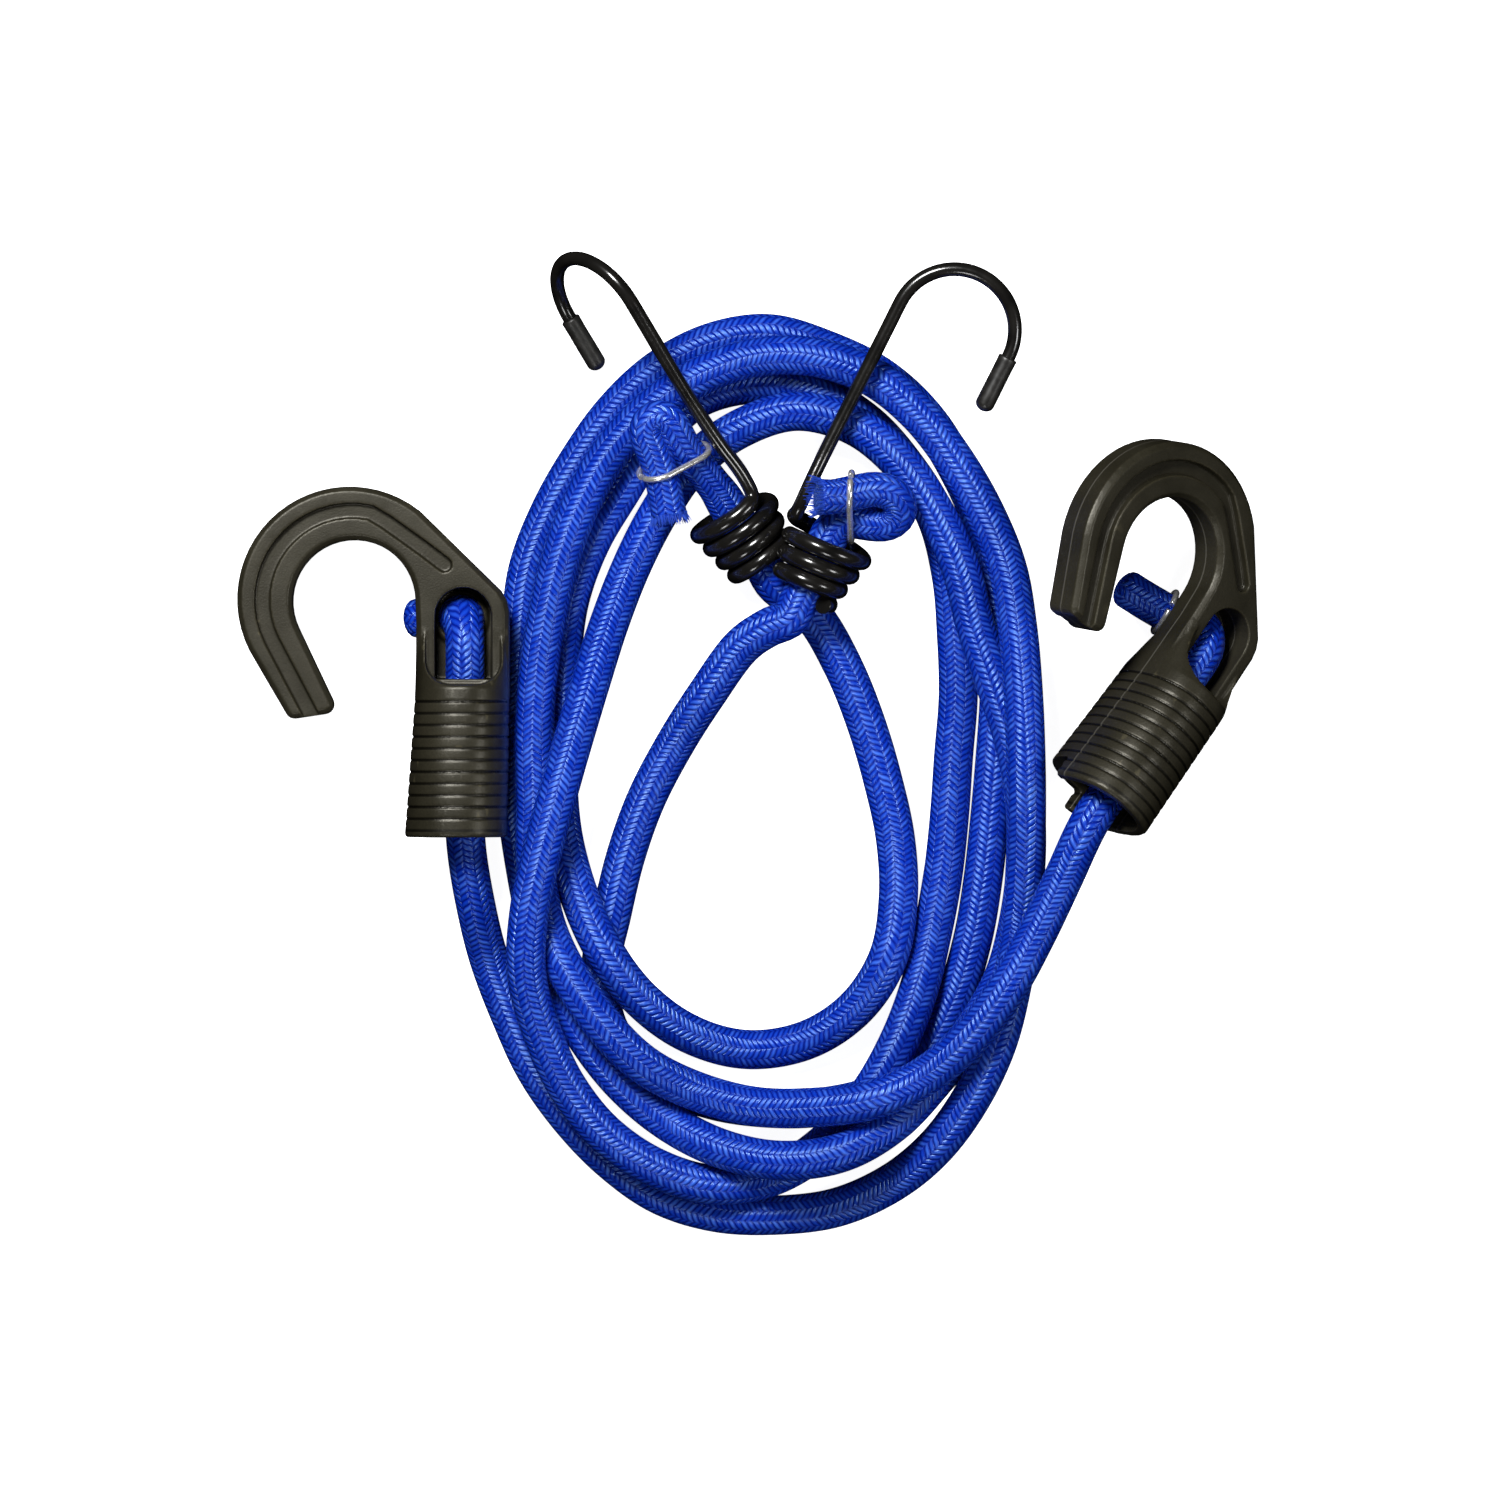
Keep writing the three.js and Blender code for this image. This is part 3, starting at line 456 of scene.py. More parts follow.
def settle(strands: Sequence[Strand]) -> None:
    """Lay the strands on each other, the higher rank on top.

    Args:
        strands: The cords' free runs.
    """
    beads = np.concatenate([strand.beads(n) for n, strand in enumerate(strands)])
    near = np.hypot(beads[:, None, 3] - beads[None, :, 3], beads[:, None, 4] - beads[None, :, 4])
    alike = beads[:, None, 0] == beads[None, :, 0]
    along = np.abs(beads[:, None, 5] - beads[None, :, 5])
    touching = np.triu((near < LAY.reach) & ~(alike & (along < LAY.own_share * LAY.reach)), 1)
    pairs = []
    for i, j in zip(*np.nonzero(touching)):
        over = beads[i, 6] >= beads[j, 6]
        upper, lower = (beads[i], beads[j]) if over else (beads[j], beads[i])
        pairs.append((upper, lower, math.sqrt(LAY.reach**2 - near[i, j] ** 2)))
    for _ in range(LAY.passes):
        worst = 0.0
        for upper, lower, lift in pairs:
            over = strands[int(upper[0])]
            short = strands[int(lower[0])].height(lower) + lift - over.height(upper)
            if short > LAY.least_short:
                worst = max(worst, short)
                over.press(upper, short)
        for strand in strands:
            strand.relax()
        if worst < LAY.settled:
            return


@dataclass
class CordLines:
    """Centre lines of both cords, with the knots at the ends of the second."""

    moulded: list[Vector]
    wire: list[Vector]
    left_knot: np.ndarray
    right_knot: np.ndarray

    @classmethod
    def laid(cls) -> CordLines:
        """Lay both cords from the lists, from hook to hook.

        Returns:
            Their lines, before the origin is taken off.
        """
        left_grip = [MOULDED_POSES[Side.LEFT].on_axis(up) for up in (LAY.split_at, *LEFT_GRIP_STATIONS)]
        left_grip.append(Vector(LEFT_GRIP_MOUTH))
        right_ups = (*RIGHT_GRIP_STATIONS, LAY.split_at)
        right_grip = [MOULDED_POSES[Side.RIGHT].on_axis(up) for up in right_ups]
        right_coil = [WIRE_POSES[Side.RIGHT].on_axis(up) for up in RIGHT_COIL_STATIONS]
        right_coil += [Vector(place) for place in RIGHT_COIL_MOUTH]
        left_coil = [WIRE_POSES[Side.LEFT].on_axis(up) for up in LEFT_COIL_STATIONS]
        left_coil.insert(0, Vector(LEFT_COIL_MOUTH))
        moulded = Strand(left_grip[-1], MOULDED_RUN, right_grip[0])
        wire = Strand(right_coil[-1], WIRE_RUN, left_coil[0])
        settle([moulded, wire])
        right_knot = Spline([Vector(p) for p in reversed(RIGHT_KNOT)]).spaced(LAY.knot_points)
        left_knot = Spline([Vector(p) for p in LEFT_KNOT]).spaced(LAY.knot_points)
        middle = right_coil + wire.points() + left_coil
        return cls(
            moulded=left_grip + moulded.points() + right_grip,
            wire=[Vector(p) for p in right_knot] + middle + [Vector(p) for p in left_knot],
            left_knot=left_knot,
            right_knot=right_knot,
        )


class Sweep:
    """A round skin along a line. In its UV map u is the share of a turn and v the metres along it."""

    def __init__(self, line: np.ndarray, radius: np.ndarray | float, sides: int) -> None:
        """Set out the axes of each ring, carried along the line without twist.

        Args:
            line: The centres.
            radius: One radius, or one for each centre.
            sides: How many points a ring has.
        """
        self.line = line
        self.radius = np.broadcast_to(radius, len(line)).astype(float)
        self.sides = sides
        along = np.gradient(line, axis=0)
        self.along = along / np.linalg.norm(along, axis=1, keepdims=True)
        side = np.cross(self.along[0], FIRST_SIDE)
        self.side = np.zeros_like(line)
        for k, flow in enumerate(self.along):
            side = side - flow * side.dot(flow)
            side = side / np.linalg.norm(side)
            self.side[k] = side
        self.way = way_along(line)

    def rings(self) -> np.ndarray:
        """Give the skin's points, as rings, sides and coordinates."""
        angle = np.arange(self.sides) * (2 * math.pi / self.sides)
        up = np.cross(self.along, self.side)
        wide = self.side[:, None, :] * np.cos(angle)[None, :, None]
        tall = up[:, None, :] * np.sin(angle)[None, :, None]
        return self.line[:, None, :] + (wide + tall) * self.radius[:, None, None]

    def mesh(self, name: str, lowest: float | None = None) -> bpy.types.Object:
        """Extrude a disc from ring to ring, with the end faces in the second material slot.

        Args:
            name: The object's name.
            lowest: The height below which the skin is pressed flat, if any.

        Returns:
            The new object, in the scene.
        """
        places = self.rings()
        if lowest is not None:
            places[:, :, 2] = np.maximum(places[:, :, 2], lowest)
        skin = bmesh.new()
        rings = [bmesh.ops.create_circle(skin, cap_ends=True, segments=self.sides, radius=1.0)["verts"]]
        edges = list(skin.edges)
        for _ in range(len(places) - 1):
            grown = bmesh.ops.extrude_edge_only(skin, edges=edges)["geom"]
            fresh = {item for item in grown if isinstance(item, bmesh.types.BMVert)}
            rings.append([self._twin(vert, fresh) for vert in rings[-1]])
            edges = [e for e in grown if isinstance(e, bmesh.types.BMEdge) and fresh.issuperset(e.verts)]
        bmesh.ops.contextual_create(skin, geom=edges)
        for ring, spots in zip(rings, places):
            for vert, spot in zip(ring, spots):
                vert.co = spot
        bmesh.ops.recalc_face_normals(skin, faces=skin.faces)
        self._unwrap(skin, rings)
        return to_object(skin, name)

    @staticmethod
    def _twin(vert: bmesh.types.BMVert, fresh: set[bmesh.types.BMVert]) -> bmesh.types.BMVert:
        """Find the new point that a ring's point was extruded to.

        Args:
            vert: The old point.
            fresh: The new ring's points.

        Returns:
            The new point.
        """
        return next(edge.other_vert(vert) for edge in vert.link_edges if edge.other_vert(vert) in fresh)

    def _unwrap(self, skin: bmesh.types.BMesh, rings: Sequence[Sequence[bmesh.types.BMVert]]) -> None:
        """Give every corner its place round and along the skin.

        Args:
            skin: The mesh.
            rings: Its points, ring by ring.
        """
        for k, ring in enumerate(rings):
            for j, vert in enumerate(ring):
                vert.index = k * self.sides + j
        layer = skin.loops.layers.uv.new("UVMap")
        for face in skin.faces:
            columns = [loop.vert.index % self.sides for loop in face.loops]
            face.smooth = len(columns) == 4
            face.material_index = 0 if face.smooth else 1
            seam = face.smooth and max(columns) - min(columns) > 1
            for loop, column in zip(face.loops, columns):
                turn = 2 * math.pi * column / self.sides
                if face.smooth:
                    u = 1.0 if seam and column == 0 else column / self.sides
                    loop[layer].uv = (u, self.way[loop.vert.index // self.sides])
                else:
                    loop[layer].uv = (0.5 + 0.5 * math.cos(turn), 0.5 + 0.5 * math.sin(turn))


def to_object(shape: bmesh.types.BMesh, name: str) -> bpy.types.Object:
    """Turn a finished shape into an object of the scene.

    Args:
        shape: The shape, which is freed.
        name: The object's name.

    Returns:
        The object.
    """
    data = bpy.data.meshes.new(name)
    shape.to_mesh(data)
    shape.free()
    piece = bpy.data.objects.new(name, data)
    bpy.context.scene.collection.objects.link(piece)
    return piece


def rounded_end(line: np.ndarray, radius: np.ndarray, flat: float) -> tuple[np.ndarray, np.ndarray]:
    """Close the far end of a line with a dome.

    Args:
        line: The centres.
        radius: The radius at each.
        flat: How tall the dome is, as a share of its radius.

    Returns:
        The centres and radii with the dome's own added.
    """
    flow = line[-1] - line[-2]
    flow = flow / np.linalg.norm(flow)
    turns = np.radians(np.array(DOME_TURNS))
    tips = line[-1] + flow * (radius[-1] * flat * np.sin(turns))[:, None]
    return np.concatenate((line, tips)), np.concatenate((radius, radius[-1] * np.cos(turns)))


class Graph:
    """A material's nodes, with short calls to add them."""

    def __init__(self, name: str) -> None:
        """Start a material with a principled shader.

        Args:
            name: The material's name.
        """
        self.material = bpy.data.materials.new(name)
        self.material.use_nodes = True
        self.tree = self.material.node_tree
        self.shader = self.tree.nodes["Principled BSDF"]

    def node(self, kind: str, **inputs: object) -> bpy.types.Node:
        """Add a node.

        Args:
            kind: Its type name, without the common start.
            inputs: Values or sockets for its inputs, by name with underscores for spaces.

        Returns:
            The node.
        """
        node = self.tree.nodes.new("ShaderNode" + kind)
        for key, value in inputs.items():
            self.feed(node.inputs[key.replace("_", " ")], value)
        return node

    def feed(self, socket: bpy.types.NodeSocket, value: object) -> None:
        """Set or link an input.

        Args:
            socket: The input.
            value: A plain value, or an output to link.
        """
        if isinstance(value, bpy.types.NodeSocket):
            self.tree.links.new(value, socket)
        else:
            socket.default_value = value

    def math(self, step: str, *values: object) -> bpy.types.NodeSocket:
        """Add a math node.

        Args:
            step: Its operation.
            values: Its inputs, plain or linked.

        Returns:
            Its output.
        """
        node = self.tree.nodes.new("ShaderNodeMath")
        node.operation = step
        for socket, value in zip(node.inputs, values):
            self.feed(socket, value)
        return node.outputs[0]

    def ramp(self, factor: bpy.types.NodeSocket, *stops: tuple[float, Colour]) -> bpy.types.NodeSocket:
        """Add a colour ramp.

        Args:
            factor: What picks the colour.
            stops: Places and colours.

        Returns:
            Its colour.
        """
        node = self.node("ValToRGB", Fac=factor)
        band = node.color_ramp.elements
        while len(band) < len(stops):
            band.new(0.5)
        for element, (place, colour) in zip(band, stops):
            element.position = place
            element.color = (*colour, 1.0)
        return node.outputs["Color"]

    def fade(self, value: bpy.types.NodeSocket, start: float, end: float) -> bpy.types.NodeSocket:
        """Fall smoothly from 1 to 0.

        Args:
            value: What is compared.
            start: Where the fall starts.
            end: Where it ends.

        Returns:
            The share.
        """
        node = self.node("MapRange", Value=value, From_Min=start, From_Max=end, To_Min=1.0, To_Max=0.0)
        node.interpolation_type = "SMOOTHSTEP"
        return node.outputs["Result"]

    def spread(self, value: bpy.types.NodeSocket, gain_base: tuple[float, object]) -> bpy.types.NodeSocket:
        """Scale a value and add to it.

        Args:
            value: The value.
            gain_base: What it is multiplied by, and what is added.

        Returns:
            The new value.
        """
        return self.math("MULTIPLY_ADD", value, *gain_base)

    def mix(self, factor: object, first: object, second: object, way: str = "MIX") -> bpy.types.NodeSocket:
        """Mix two colours.

        Args:
            factor: How much of the second.
            first: A colour or socket.
            second: A colour or socket.
            way: The blend type.

        Returns:
            The mixed colour.
        """
        node = self.tree.nodes.new("ShaderNodeMix")
        node.data_type = "RGBA"
        node.blend_type = way
        self.feed(node.inputs[0], factor)
        # The colour sockets come after those of the node's other kinds of data
        self.feed(node.inputs[6], first)
        self.feed(node.inputs[7], second)
        return node.outputs[2]

    def grey(self, value: bpy.types.NodeSocket) -> bpy.types.NodeSocket:
        """Make a value a grey, to multiply a colour with.

        Args:
            value: The value.

        Returns:
            The colour.
        """
        return self.node("CombineColor", Red=value, Green=value, Blue=value).outputs[0]

    def noise(self, scale: float, detail: float = 3.0) -> bpy.types.NodeSocket:
        """Add noise on object coordinates.

        Args:
            scale: Its waves per metre.
            detail: Its octaves.

        Returns:
            Its value.
        """
        place = self.node("TexCoord").outputs["Object"]
        return self.node("TexNoise", Vector=place, Scale=scale, Detail=detail).outputs["Fac"]

    def relief(self, height: bpy.types.NodeSocket, depth: float, strength: float = 1.0) -> None:
        """Raise the surface's light and shade by a height.

        Args:
            height: The height, as a share of the depth.
            depth: What a height of 1 stands for, in metres.
            strength: How much of it shows.
        """
        bump = self.node("Bump", Height=height, Distance=depth, Strength=strength)
        self.feed(self.shader.inputs["Normal"], bump.outputs["Normal"])

    def set(self, **values: object) -> None:
        """Set or link the shader's inputs.

        Args:
            values: Values or sockets, by name with underscores for spaces.
        """
        for key, value in values.items():
            self.feed(self.shader.inputs[key.replace("_", " ")], value)


@dataclass(frozen=True)
class BraidedYarn:
    """Blue textured yarn in slanted picks that meet in columns of arrows.

    Pairs named for a spread hold a gain and a base.
    """

    columns: int = 12
    pitch: float = 0.00152
    slant: float = 1.15
    curl: float = 0.05
    threads: float = 5.0
    drift: float = 1.1
    drift_scale: float = 26.0
    depth: float = 0.00028
    crown_power: float = 0.8
    belly_power: float = 0.5
    belly_spread: tuple[float, float] = (0.4, 0.6)
    stops: tuple[float, float, float] = (0.05, 0.5, 1.0)
    # Painted shade in the creases, the flank's own blue, and a painted highlight on the crests, picked by the
    # relief's height
    crease_shade: Colour = (0.0007, 0.009, 0.235)
    flank: Colour = (0.0012, 0.0150, 0.32)
    crest_highlight: Colour = (0.0044, 0.042, 0.48)
    # Colour of the painted glints
    glint_colour: Colour = (0.08, 0.25, 0.95)
    glint_body: float = 3.0
    glint_chance: float = 2.0
    glint_share: float = 0.45
    wear_scale: float = 45.0
    wear_spread: tuple[float, float] = (0.6, 0.7)
    wear_and_shade_share: float = 0.8
    # Painted shade between the threads
    thread_shade: float = 0.10
    thread_relief: float = 0.06
    roughness_spread: tuple[float, float] = (0.12, 0.22)
    gloss: float = 1.0
    gloss_tint: Colour = (0.40, 0.66, 1.0)

    def material(self) -> bpy.types.Material:
        """Make the material."""
        graph = Graph("braided_yarn")
        place = graph.node("SeparateXYZ", Vector=graph.node("UVMap").outputs["UV"])
        column = graph.math("MULTIPLY", place.outputs["X"], float(self.columns))
        number = graph.math("FLOOR", column)
        across = graph.math("FRACT", column)
        odd = graph.math("MODULO", number, 2.0)
        lean = graph.spread(odd, (2.0 * self.slant, -self.slant))
        wave = graph.math("SINE", graph.math("MULTIPLY", across, 2.0 * math.pi))
        bent = graph.spread(wave, (self.curl, graph.math("SUBTRACT", across, 0.5)))
        slope = graph.math("MULTIPLY", lean, bent)
        rows = graph.spread(place.outputs["Y"], (1.0 / self.pitch, slope))
        rows = graph.spread(graph.noise(self.drift_scale, detail=1.0), (self.drift, rows))
        pick = graph.math("FRACT", rows)
        cell = graph.node("CombineXYZ", X=number, Y=graph.math("FLOOR", rows)).outputs[0]
        chance = graph.node("TexWhiteNoise", Vector=cell).outputs["Value"]
        crown = graph.math("SINE", graph.math("MULTIPLY", pick, math.pi))
        crown = graph.math("POWER", crown, self.crown_power)
        belly = graph.math("SINE", graph.math("MULTIPLY", across, math.pi))
        belly = graph.math("POWER", belly, self.belly_power)
        body = graph.math("MULTIPLY", crown, graph.spread(belly, self.belly_spread))
        thread = graph.math("SINE", graph.math("MULTIPLY", pick, 2.0 * self.threads * math.pi))
        # Painted shade in the creases and painted highlight on the crests, from the relief's height
        colour = graph.ramp(body, *zip(self.stops, (self.crease_shade, self.flank, self.crest_highlight)))
        # Painted glints: the glint colour mixed into the base colour on the highest picks, at random
        shine = graph.math("POWER", body, self.glint_body)
        glint = graph.math("MULTIPLY", shine, graph.math("POWER", chance, self.glint_chance))
        colour = graph.mix(graph.math("MULTIPLY", glint, self.glint_share), colour, (*self.glint_colour, 1.0))
        # Random tone, with painted shade between the threads, multiplied into the colour
        wear_and_thread_shade = graph.spread(graph.noise(self.wear_scale), self.wear_spread)
        wear_and_thread_shade = graph.spread(thread, (self.thread_shade, wear_and_thread_shade))
        graph.set(Base_Color=graph.mix(self.wear_and_shade_share, colour, graph.grey(wear_and_thread_shade), "MULTIPLY"))
        graph.set(Roughness=graph.spread(chance, self.roughness_spread))
        graph.set(Specular_IOR_Level=self.gloss, Specular_Tint=(*self.gloss_tint, 1.0))
        graph.relief(graph.spread(thread, (self.thread_relief, body)), self.depth)
        return graph.material


@dataclass(frozen=True)
class FrayedYarn:
    """Loose yarn at a cut end, mottled and a little paler than the braid."""

    dark: Colour = (0.008, 0.035, 0.36)
    light: Colour = (0.018, 0.080, 0.56)
    tone_scale: float = 900.0
    tone_stops: tuple[float, float] = (0.2, 0.8)
    fibre_scale: float = 2500.0
    roughness_spread: tuple[float, float] = (0.3, 0.4)

    def material(self) -> bpy.types.Material:
        """Make the material."""
        graph = Graph("frayed_yarn")
        tone = graph.noise(self.tone_scale)
        graph.set(Base_Color=graph.ramp(tone, *zip(self.tone_stops, (self.dark, self.light))))
        graph.set(Roughness=graph.spread(graph.noise(self.fibre_scale), self.roughness_spread))
        return graph.material


@dataclass(frozen=True)
class SealedEnd:
    """The cut face of a cord, where heat has run the yarn over the rubber strands."""

    strand: Colour = (0.045, 0.060, 0.150)
    gap: Colour = (0.010, 0.015, 0.050)
    cells: float = 9.0
    gap_stop: float = 0.7
    roughness: float = 0.8
    depth: float = 0.0003

    def material(self) -> bpy.types.Material:
        """Make the material."""
        graph = Graph("sealed_end")
        place = graph.node("UVMap").outputs["UV"]
        cells = graph.node("TexVoronoi", Vector=place, Scale=self.cells).outputs["Distance"]
        colour = graph.ramp(cells, (0.0, self.strand), (self.gap_stop, self.gap))
        graph.set(Base_Color=colour, Roughness=self.roughness)
        graph.relief(graph.math("SUBTRACT", 1.0, cells), self.depth)
        return graph.material


@dataclass(frozen=True)
class MouldedPlastic:
    """Satin olive black plastic: eroded grain, rubbed edges that are also a painted highlight, painted shade
    in hollows and in the grip's grooves, and a parting line.
    """

    dark: Colour = (0.0130, 0.0117, 0.0070)
    light: Colour = (0.0235, 0.0213, 0.0136)
    rub_scale: float = 70.0
    rub_stops: tuple[float, float] = (0.3, 0.7)
    grain_scale: float = 2600.0
    grain_stops: tuple[float, float] = (0.35, 0.65)
    grain_dark: Colour = (0.78, 0.78, 0.78)
    grain_light: Colour = (1.18, 1.17, 1.13)
    grain_share: float = 0.7
    # Pointiness stops and tones: painted shade in hollows, then rubbed edges that are also a painted
    # highlight
    edge_stops: tuple[float, float, float, float] = (0.43, 0.485, 0.515, 0.58)
    shade_wear_highlight_tones: tuple[Colour, ...] = (
        (0.08, 0.075, 0.07), (0.95, 0.95, 0.95), (1.0, 1.0, 1.0), (2.2, 2.15, 2.0),
    )
    seam: Colour = (0.085, 0.08, 0.066)
    seam_share: float = 0.7
    seam_height: float = 1.6
    seam_half: float = 0.00013
    seam_fade: float = 0.00032
    groove_first: float = 0.0046
    groove_pitch: float = 0.0029
    groove_half: float = 0.00022
    groove_fade: float = 0.00048
    # How dark the painted shade in the grip's grooves is
    groove_shade: float = 0.8
    grip_top: float = 0.0348
    grip_side: float = -0.016
    gloss: float = 0.36
    gloss_tint: Colour = (1.0, 0.96, 0.84)
    roughness_spread: tuple[float, float] = (0.2, 0.28)
    depth: float = 0.00005
    relief_share: float = 0.7

    def material(self) -> bpy.types.Material:
        """Make the material."""
        graph = Graph("moulded_plastic")
        rub = graph.noise(self.rub_scale, detail=4.0)
        grain = graph.noise(self.grain_scale, detail=2.0)
        colour = graph.ramp(rub, *zip(self.rub_stops, (self.dark, self.light)))
        speck = graph.ramp(grain, *zip(self.grain_stops, (self.grain_dark, self.grain_light)))
        colour = graph.mix(self.grain_share, colour, speck, "MULTIPLY")
        # Painted shade in hollows where pointiness is low; lighter edges where it is high, partly rubbed wear
        # and partly painted highlight
        edge = graph.node("NewGeometry").outputs["Pointiness"]
        shade_wear_highlight = graph.ramp(edge, *zip(self.edge_stops, self.shade_wear_highlight_tones))
        colour = graph.mix(1.0, colour, shade_wear_highlight, "MULTIPLY")
        skin = graph.node("Attribute")
        skin.attribute_name = MOULD_ATTRIBUTE
        place = graph.node("SeparateXYZ", Vector=skin.outputs["Vector"])
        # Painted shade in the grip's grooves
        colour = graph.mix(1.0, colour, graph.grey(self.grooves(graph, place)), "MULTIPLY")
        off = graph.math("ABSOLUTE", place.outputs["Z"])
        seam = graph.fade(off, self.seam_half, self.seam_fade)
        colour = graph.mix(graph.math("MULTIPLY", seam, self.seam_share), colour, (*self.seam, 1.0))
        graph.set(Base_Color=colour, Specular_IOR_Level=self.gloss, Specular_Tint=(*self.gloss_tint, 1.0))
        graph.set(Roughness=graph.spread(rub, self.roughness_spread))
        graph.relief(graph.spread(seam, (self.seam_height, grain)), self.depth, self.relief_share)
        return graph.material

    def grooves(self, graph: Graph, place: bpy.types.Node) -> bpy.types.NodeSocket:
        """Give the painted shade in the grip's grooves.

        Args:
            graph: The material's nodes.
            place: The split place in the hook's frame.

        Returns:
            A factor that is 1 on the lands.
        """
        up = graph.spread(place.outputs["Y"], (1.0 / self.groove_pitch, 0.5))
        turn = graph.math("FRACT", graph.math("SUBTRACT", up, self.groove_first / self.groove_pitch))
        away = graph.math("ABSOLUTE", graph.math("SUBTRACT", turn, 0.5))
        off = graph.math("MULTIPLY", away, self.groove_pitch)
        line = graph.fade(off, self.groove_half, self.groove_fade)
        grip = graph.math("LESS_THAN", place.outputs["Y"], self.grip_top)
        barrel = graph.math("GREATER_THAN", place.outputs["X"], self.grip_side)
        # Painted shade lines, only on the barrel's ribbed grip
        shade_lines = graph.math("MULTIPLY", line, graph.math("MULTIPLY", grip, barrel))
        return graph.spread(shade_lines, (-self.groove_shade, 1.0))


@dataclass(frozen=True)
class DippedWire:
    """Thick glossy black dip on the wire, with a slight orange peel."""

    dark: Colour = (0.0045, 0.0043, 0.0040)
    light: Colour = (0.0100, 0.0092, 0.0080)
    drift_scale: float = 160.0
    drift_stops: tuple[float, float] = (0.3, 0.7)
    roughness_spread: tuple[float, float] = (0.14, 0.13)
    coat: float = 0.3
    coat_roughness: float = 0.07
    peel_scale: float = 650.0
    depth: float = 0.00006
    relief_share: float = 0.5

    def material(self) -> bpy.types.Material:
        """Make the material."""
        graph = Graph("coated_wire")
        drift = graph.noise(self.drift_scale, detail=2.0)
        graph.set(Base_Color=graph.ramp(drift, *zip(self.drift_stops, (self.dark, self.light))))
        graph.set(Roughness=graph.spread(drift, self.roughness_spread))
        graph.set(Coat_Weight=self.coat, Coat_Roughness=self.coat_roughness)
        graph.relief(graph.noise(self.peel_scale, detail=1.0), self.depth, self.relief_share)
        return graph.material


@dataclass(frozen=True)
class CapVinyl:
    """Softer black vinyl of the tip caps, with faint scuffs."""

    dark: Colour = (0.0080, 0.0076, 0.0068)
    light: Colour = (0.0190, 0.0178, 0.0155)
    scuff_scale: float = 480.0
    scuff_stops: tuple[float, float] = (0.35, 0.75)
    roughness_spread: tuple[float, float] = (0.3, 0.24)
    depth: float = 0.00005
    relief_share: float = 0.5

    def material(self) -> bpy.types.Material:
        """Make the material."""
        graph = Graph("cap_vinyl")
        scuff = graph.noise(self.scuff_scale, detail=4.0)
        graph.set(Base_Color=graph.ramp(scuff, *zip(self.scuff_stops, (self.dark, self.light))))
        graph.set(Roughness=graph.spread(scuff, self.roughness_spread))
        graph.relief(scuff, self.depth, self.relief_share)
        return graph.material


@dataclass(frozen=True)
class BrightSteel:
    """Bright drawn steel wire with fine lines along it."""

    dark: Colour = (0.70, 0.69, 0.66)
    light: Colour = (0.94, 0.93, 0.90)
    line_scale: float = 1400.0
    line_stops: tuple[float, float] = (0.3, 0.7)
    metal: float = 0.8
    roughness_spread: tuple[float, float] = (0.16, 0.16)
    depth: float = 0.00003
    relief_share: float = 0.4

    def material(self) -> bpy.types.Material:
        """Make the material."""
        graph = Graph("bright_steel")
        line = graph.noise(self.line_scale, detail=2.0)
        colour = graph.ramp(line, *zip(self.line_stops, (self.dark, self.light)))
        graph.set(Base_Color=colour, Metallic=self.metal)
        graph.set(Roughness=graph.spread(line, self.roughness_spread))
        graph.relief(line, self.depth, self.relief_share)
        return graph.material


@dataclass(frozen=True)
class WhiteFloor:
    """Plain white sheet with a glow of its own, so that shadows on it stay very faint."""

    dark: Colour = (0.93, 0.93, 0.93)
    light: Colour = (0.96, 0.96, 0.96)
    tone_scale: float = 3.0
    tone_stops: tuple[float, float] = (0.3, 0.7)
    roughness: float = 0.9
    glow: float = 0.95

    def material(self) -> bpy.types.Material:
        """Make the material."""
        graph = Graph("white_floor")
        tone = graph.noise(self.tone_scale, detail=2.0)
        colour = graph.ramp(tone, *zip(self.tone_stops, (self.dark, self.light)))
        graph.set(Base_Color=colour, Roughness=self.roughness, Specular_IOR_Level=0.0)
        graph.set(Emission_Color=(1.0, 1.0, 1.0, 1.0), Emission_Strength=self.glow)
        return graph.material


class Finishes:
    """Every material of the bundle, made once."""

    def __init__(self) -> None:
        """Make them."""
        self.braid = BraidedYarn().material()
        self.fray = FrayedYarn().material()
        self.sealed = SealedEnd().material()
        self.moulding = MouldedPlastic().material()
        self.coating = DippedWire().material()
        self.vinyl = CapVinyl().material()
        self.steel = BrightSteel().material()


def paint(piece: bpy.types.Object, *materials: bpy.types.Material) -> None:
    """Give a piece its materials.

    Args:
        piece: The piece.
        materials: One for each of its slots.
    """
    piece.data.materials.clear()
    for material in materials:
        piece.data.materials.append(material)


def seat(piece: bpy.types.Object, body: str, slot: Slot, *nodes: str) -> None:
    """Put a piece on its body in place of its nodes.

    Args:
        piece: The piece.
        body: The body that it moves with.
        slot: The record's slot that it stands for; not used.
        nodes: The nodes that it replaces.
    """
    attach(piece, body)
    if nodes:
        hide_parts(*nodes)
    LOG.info("%s rides on %s", piece.name, body)


@dataclass(frozen=True)
class Clearing:
    """A place where a strand is nudged aside to leave a swinging hook room."""

    middle: tuple[float, float, float]
    push: tuple[float, float, float]
    half: tuple[float, float, float]

    def nudged(self, line: np.ndarray) -> np.ndarray:
        """Nudge a line.

        Args:
            line: The cord's centres.

        Returns:
            The line, bent a little round the place.
        """
        off = (line - np.array(self.middle)) / np.array(self.half)
        weight = np.exp(-(off * off).sum(axis=1))
        return line + np.array(self.push) * weight[:, None]


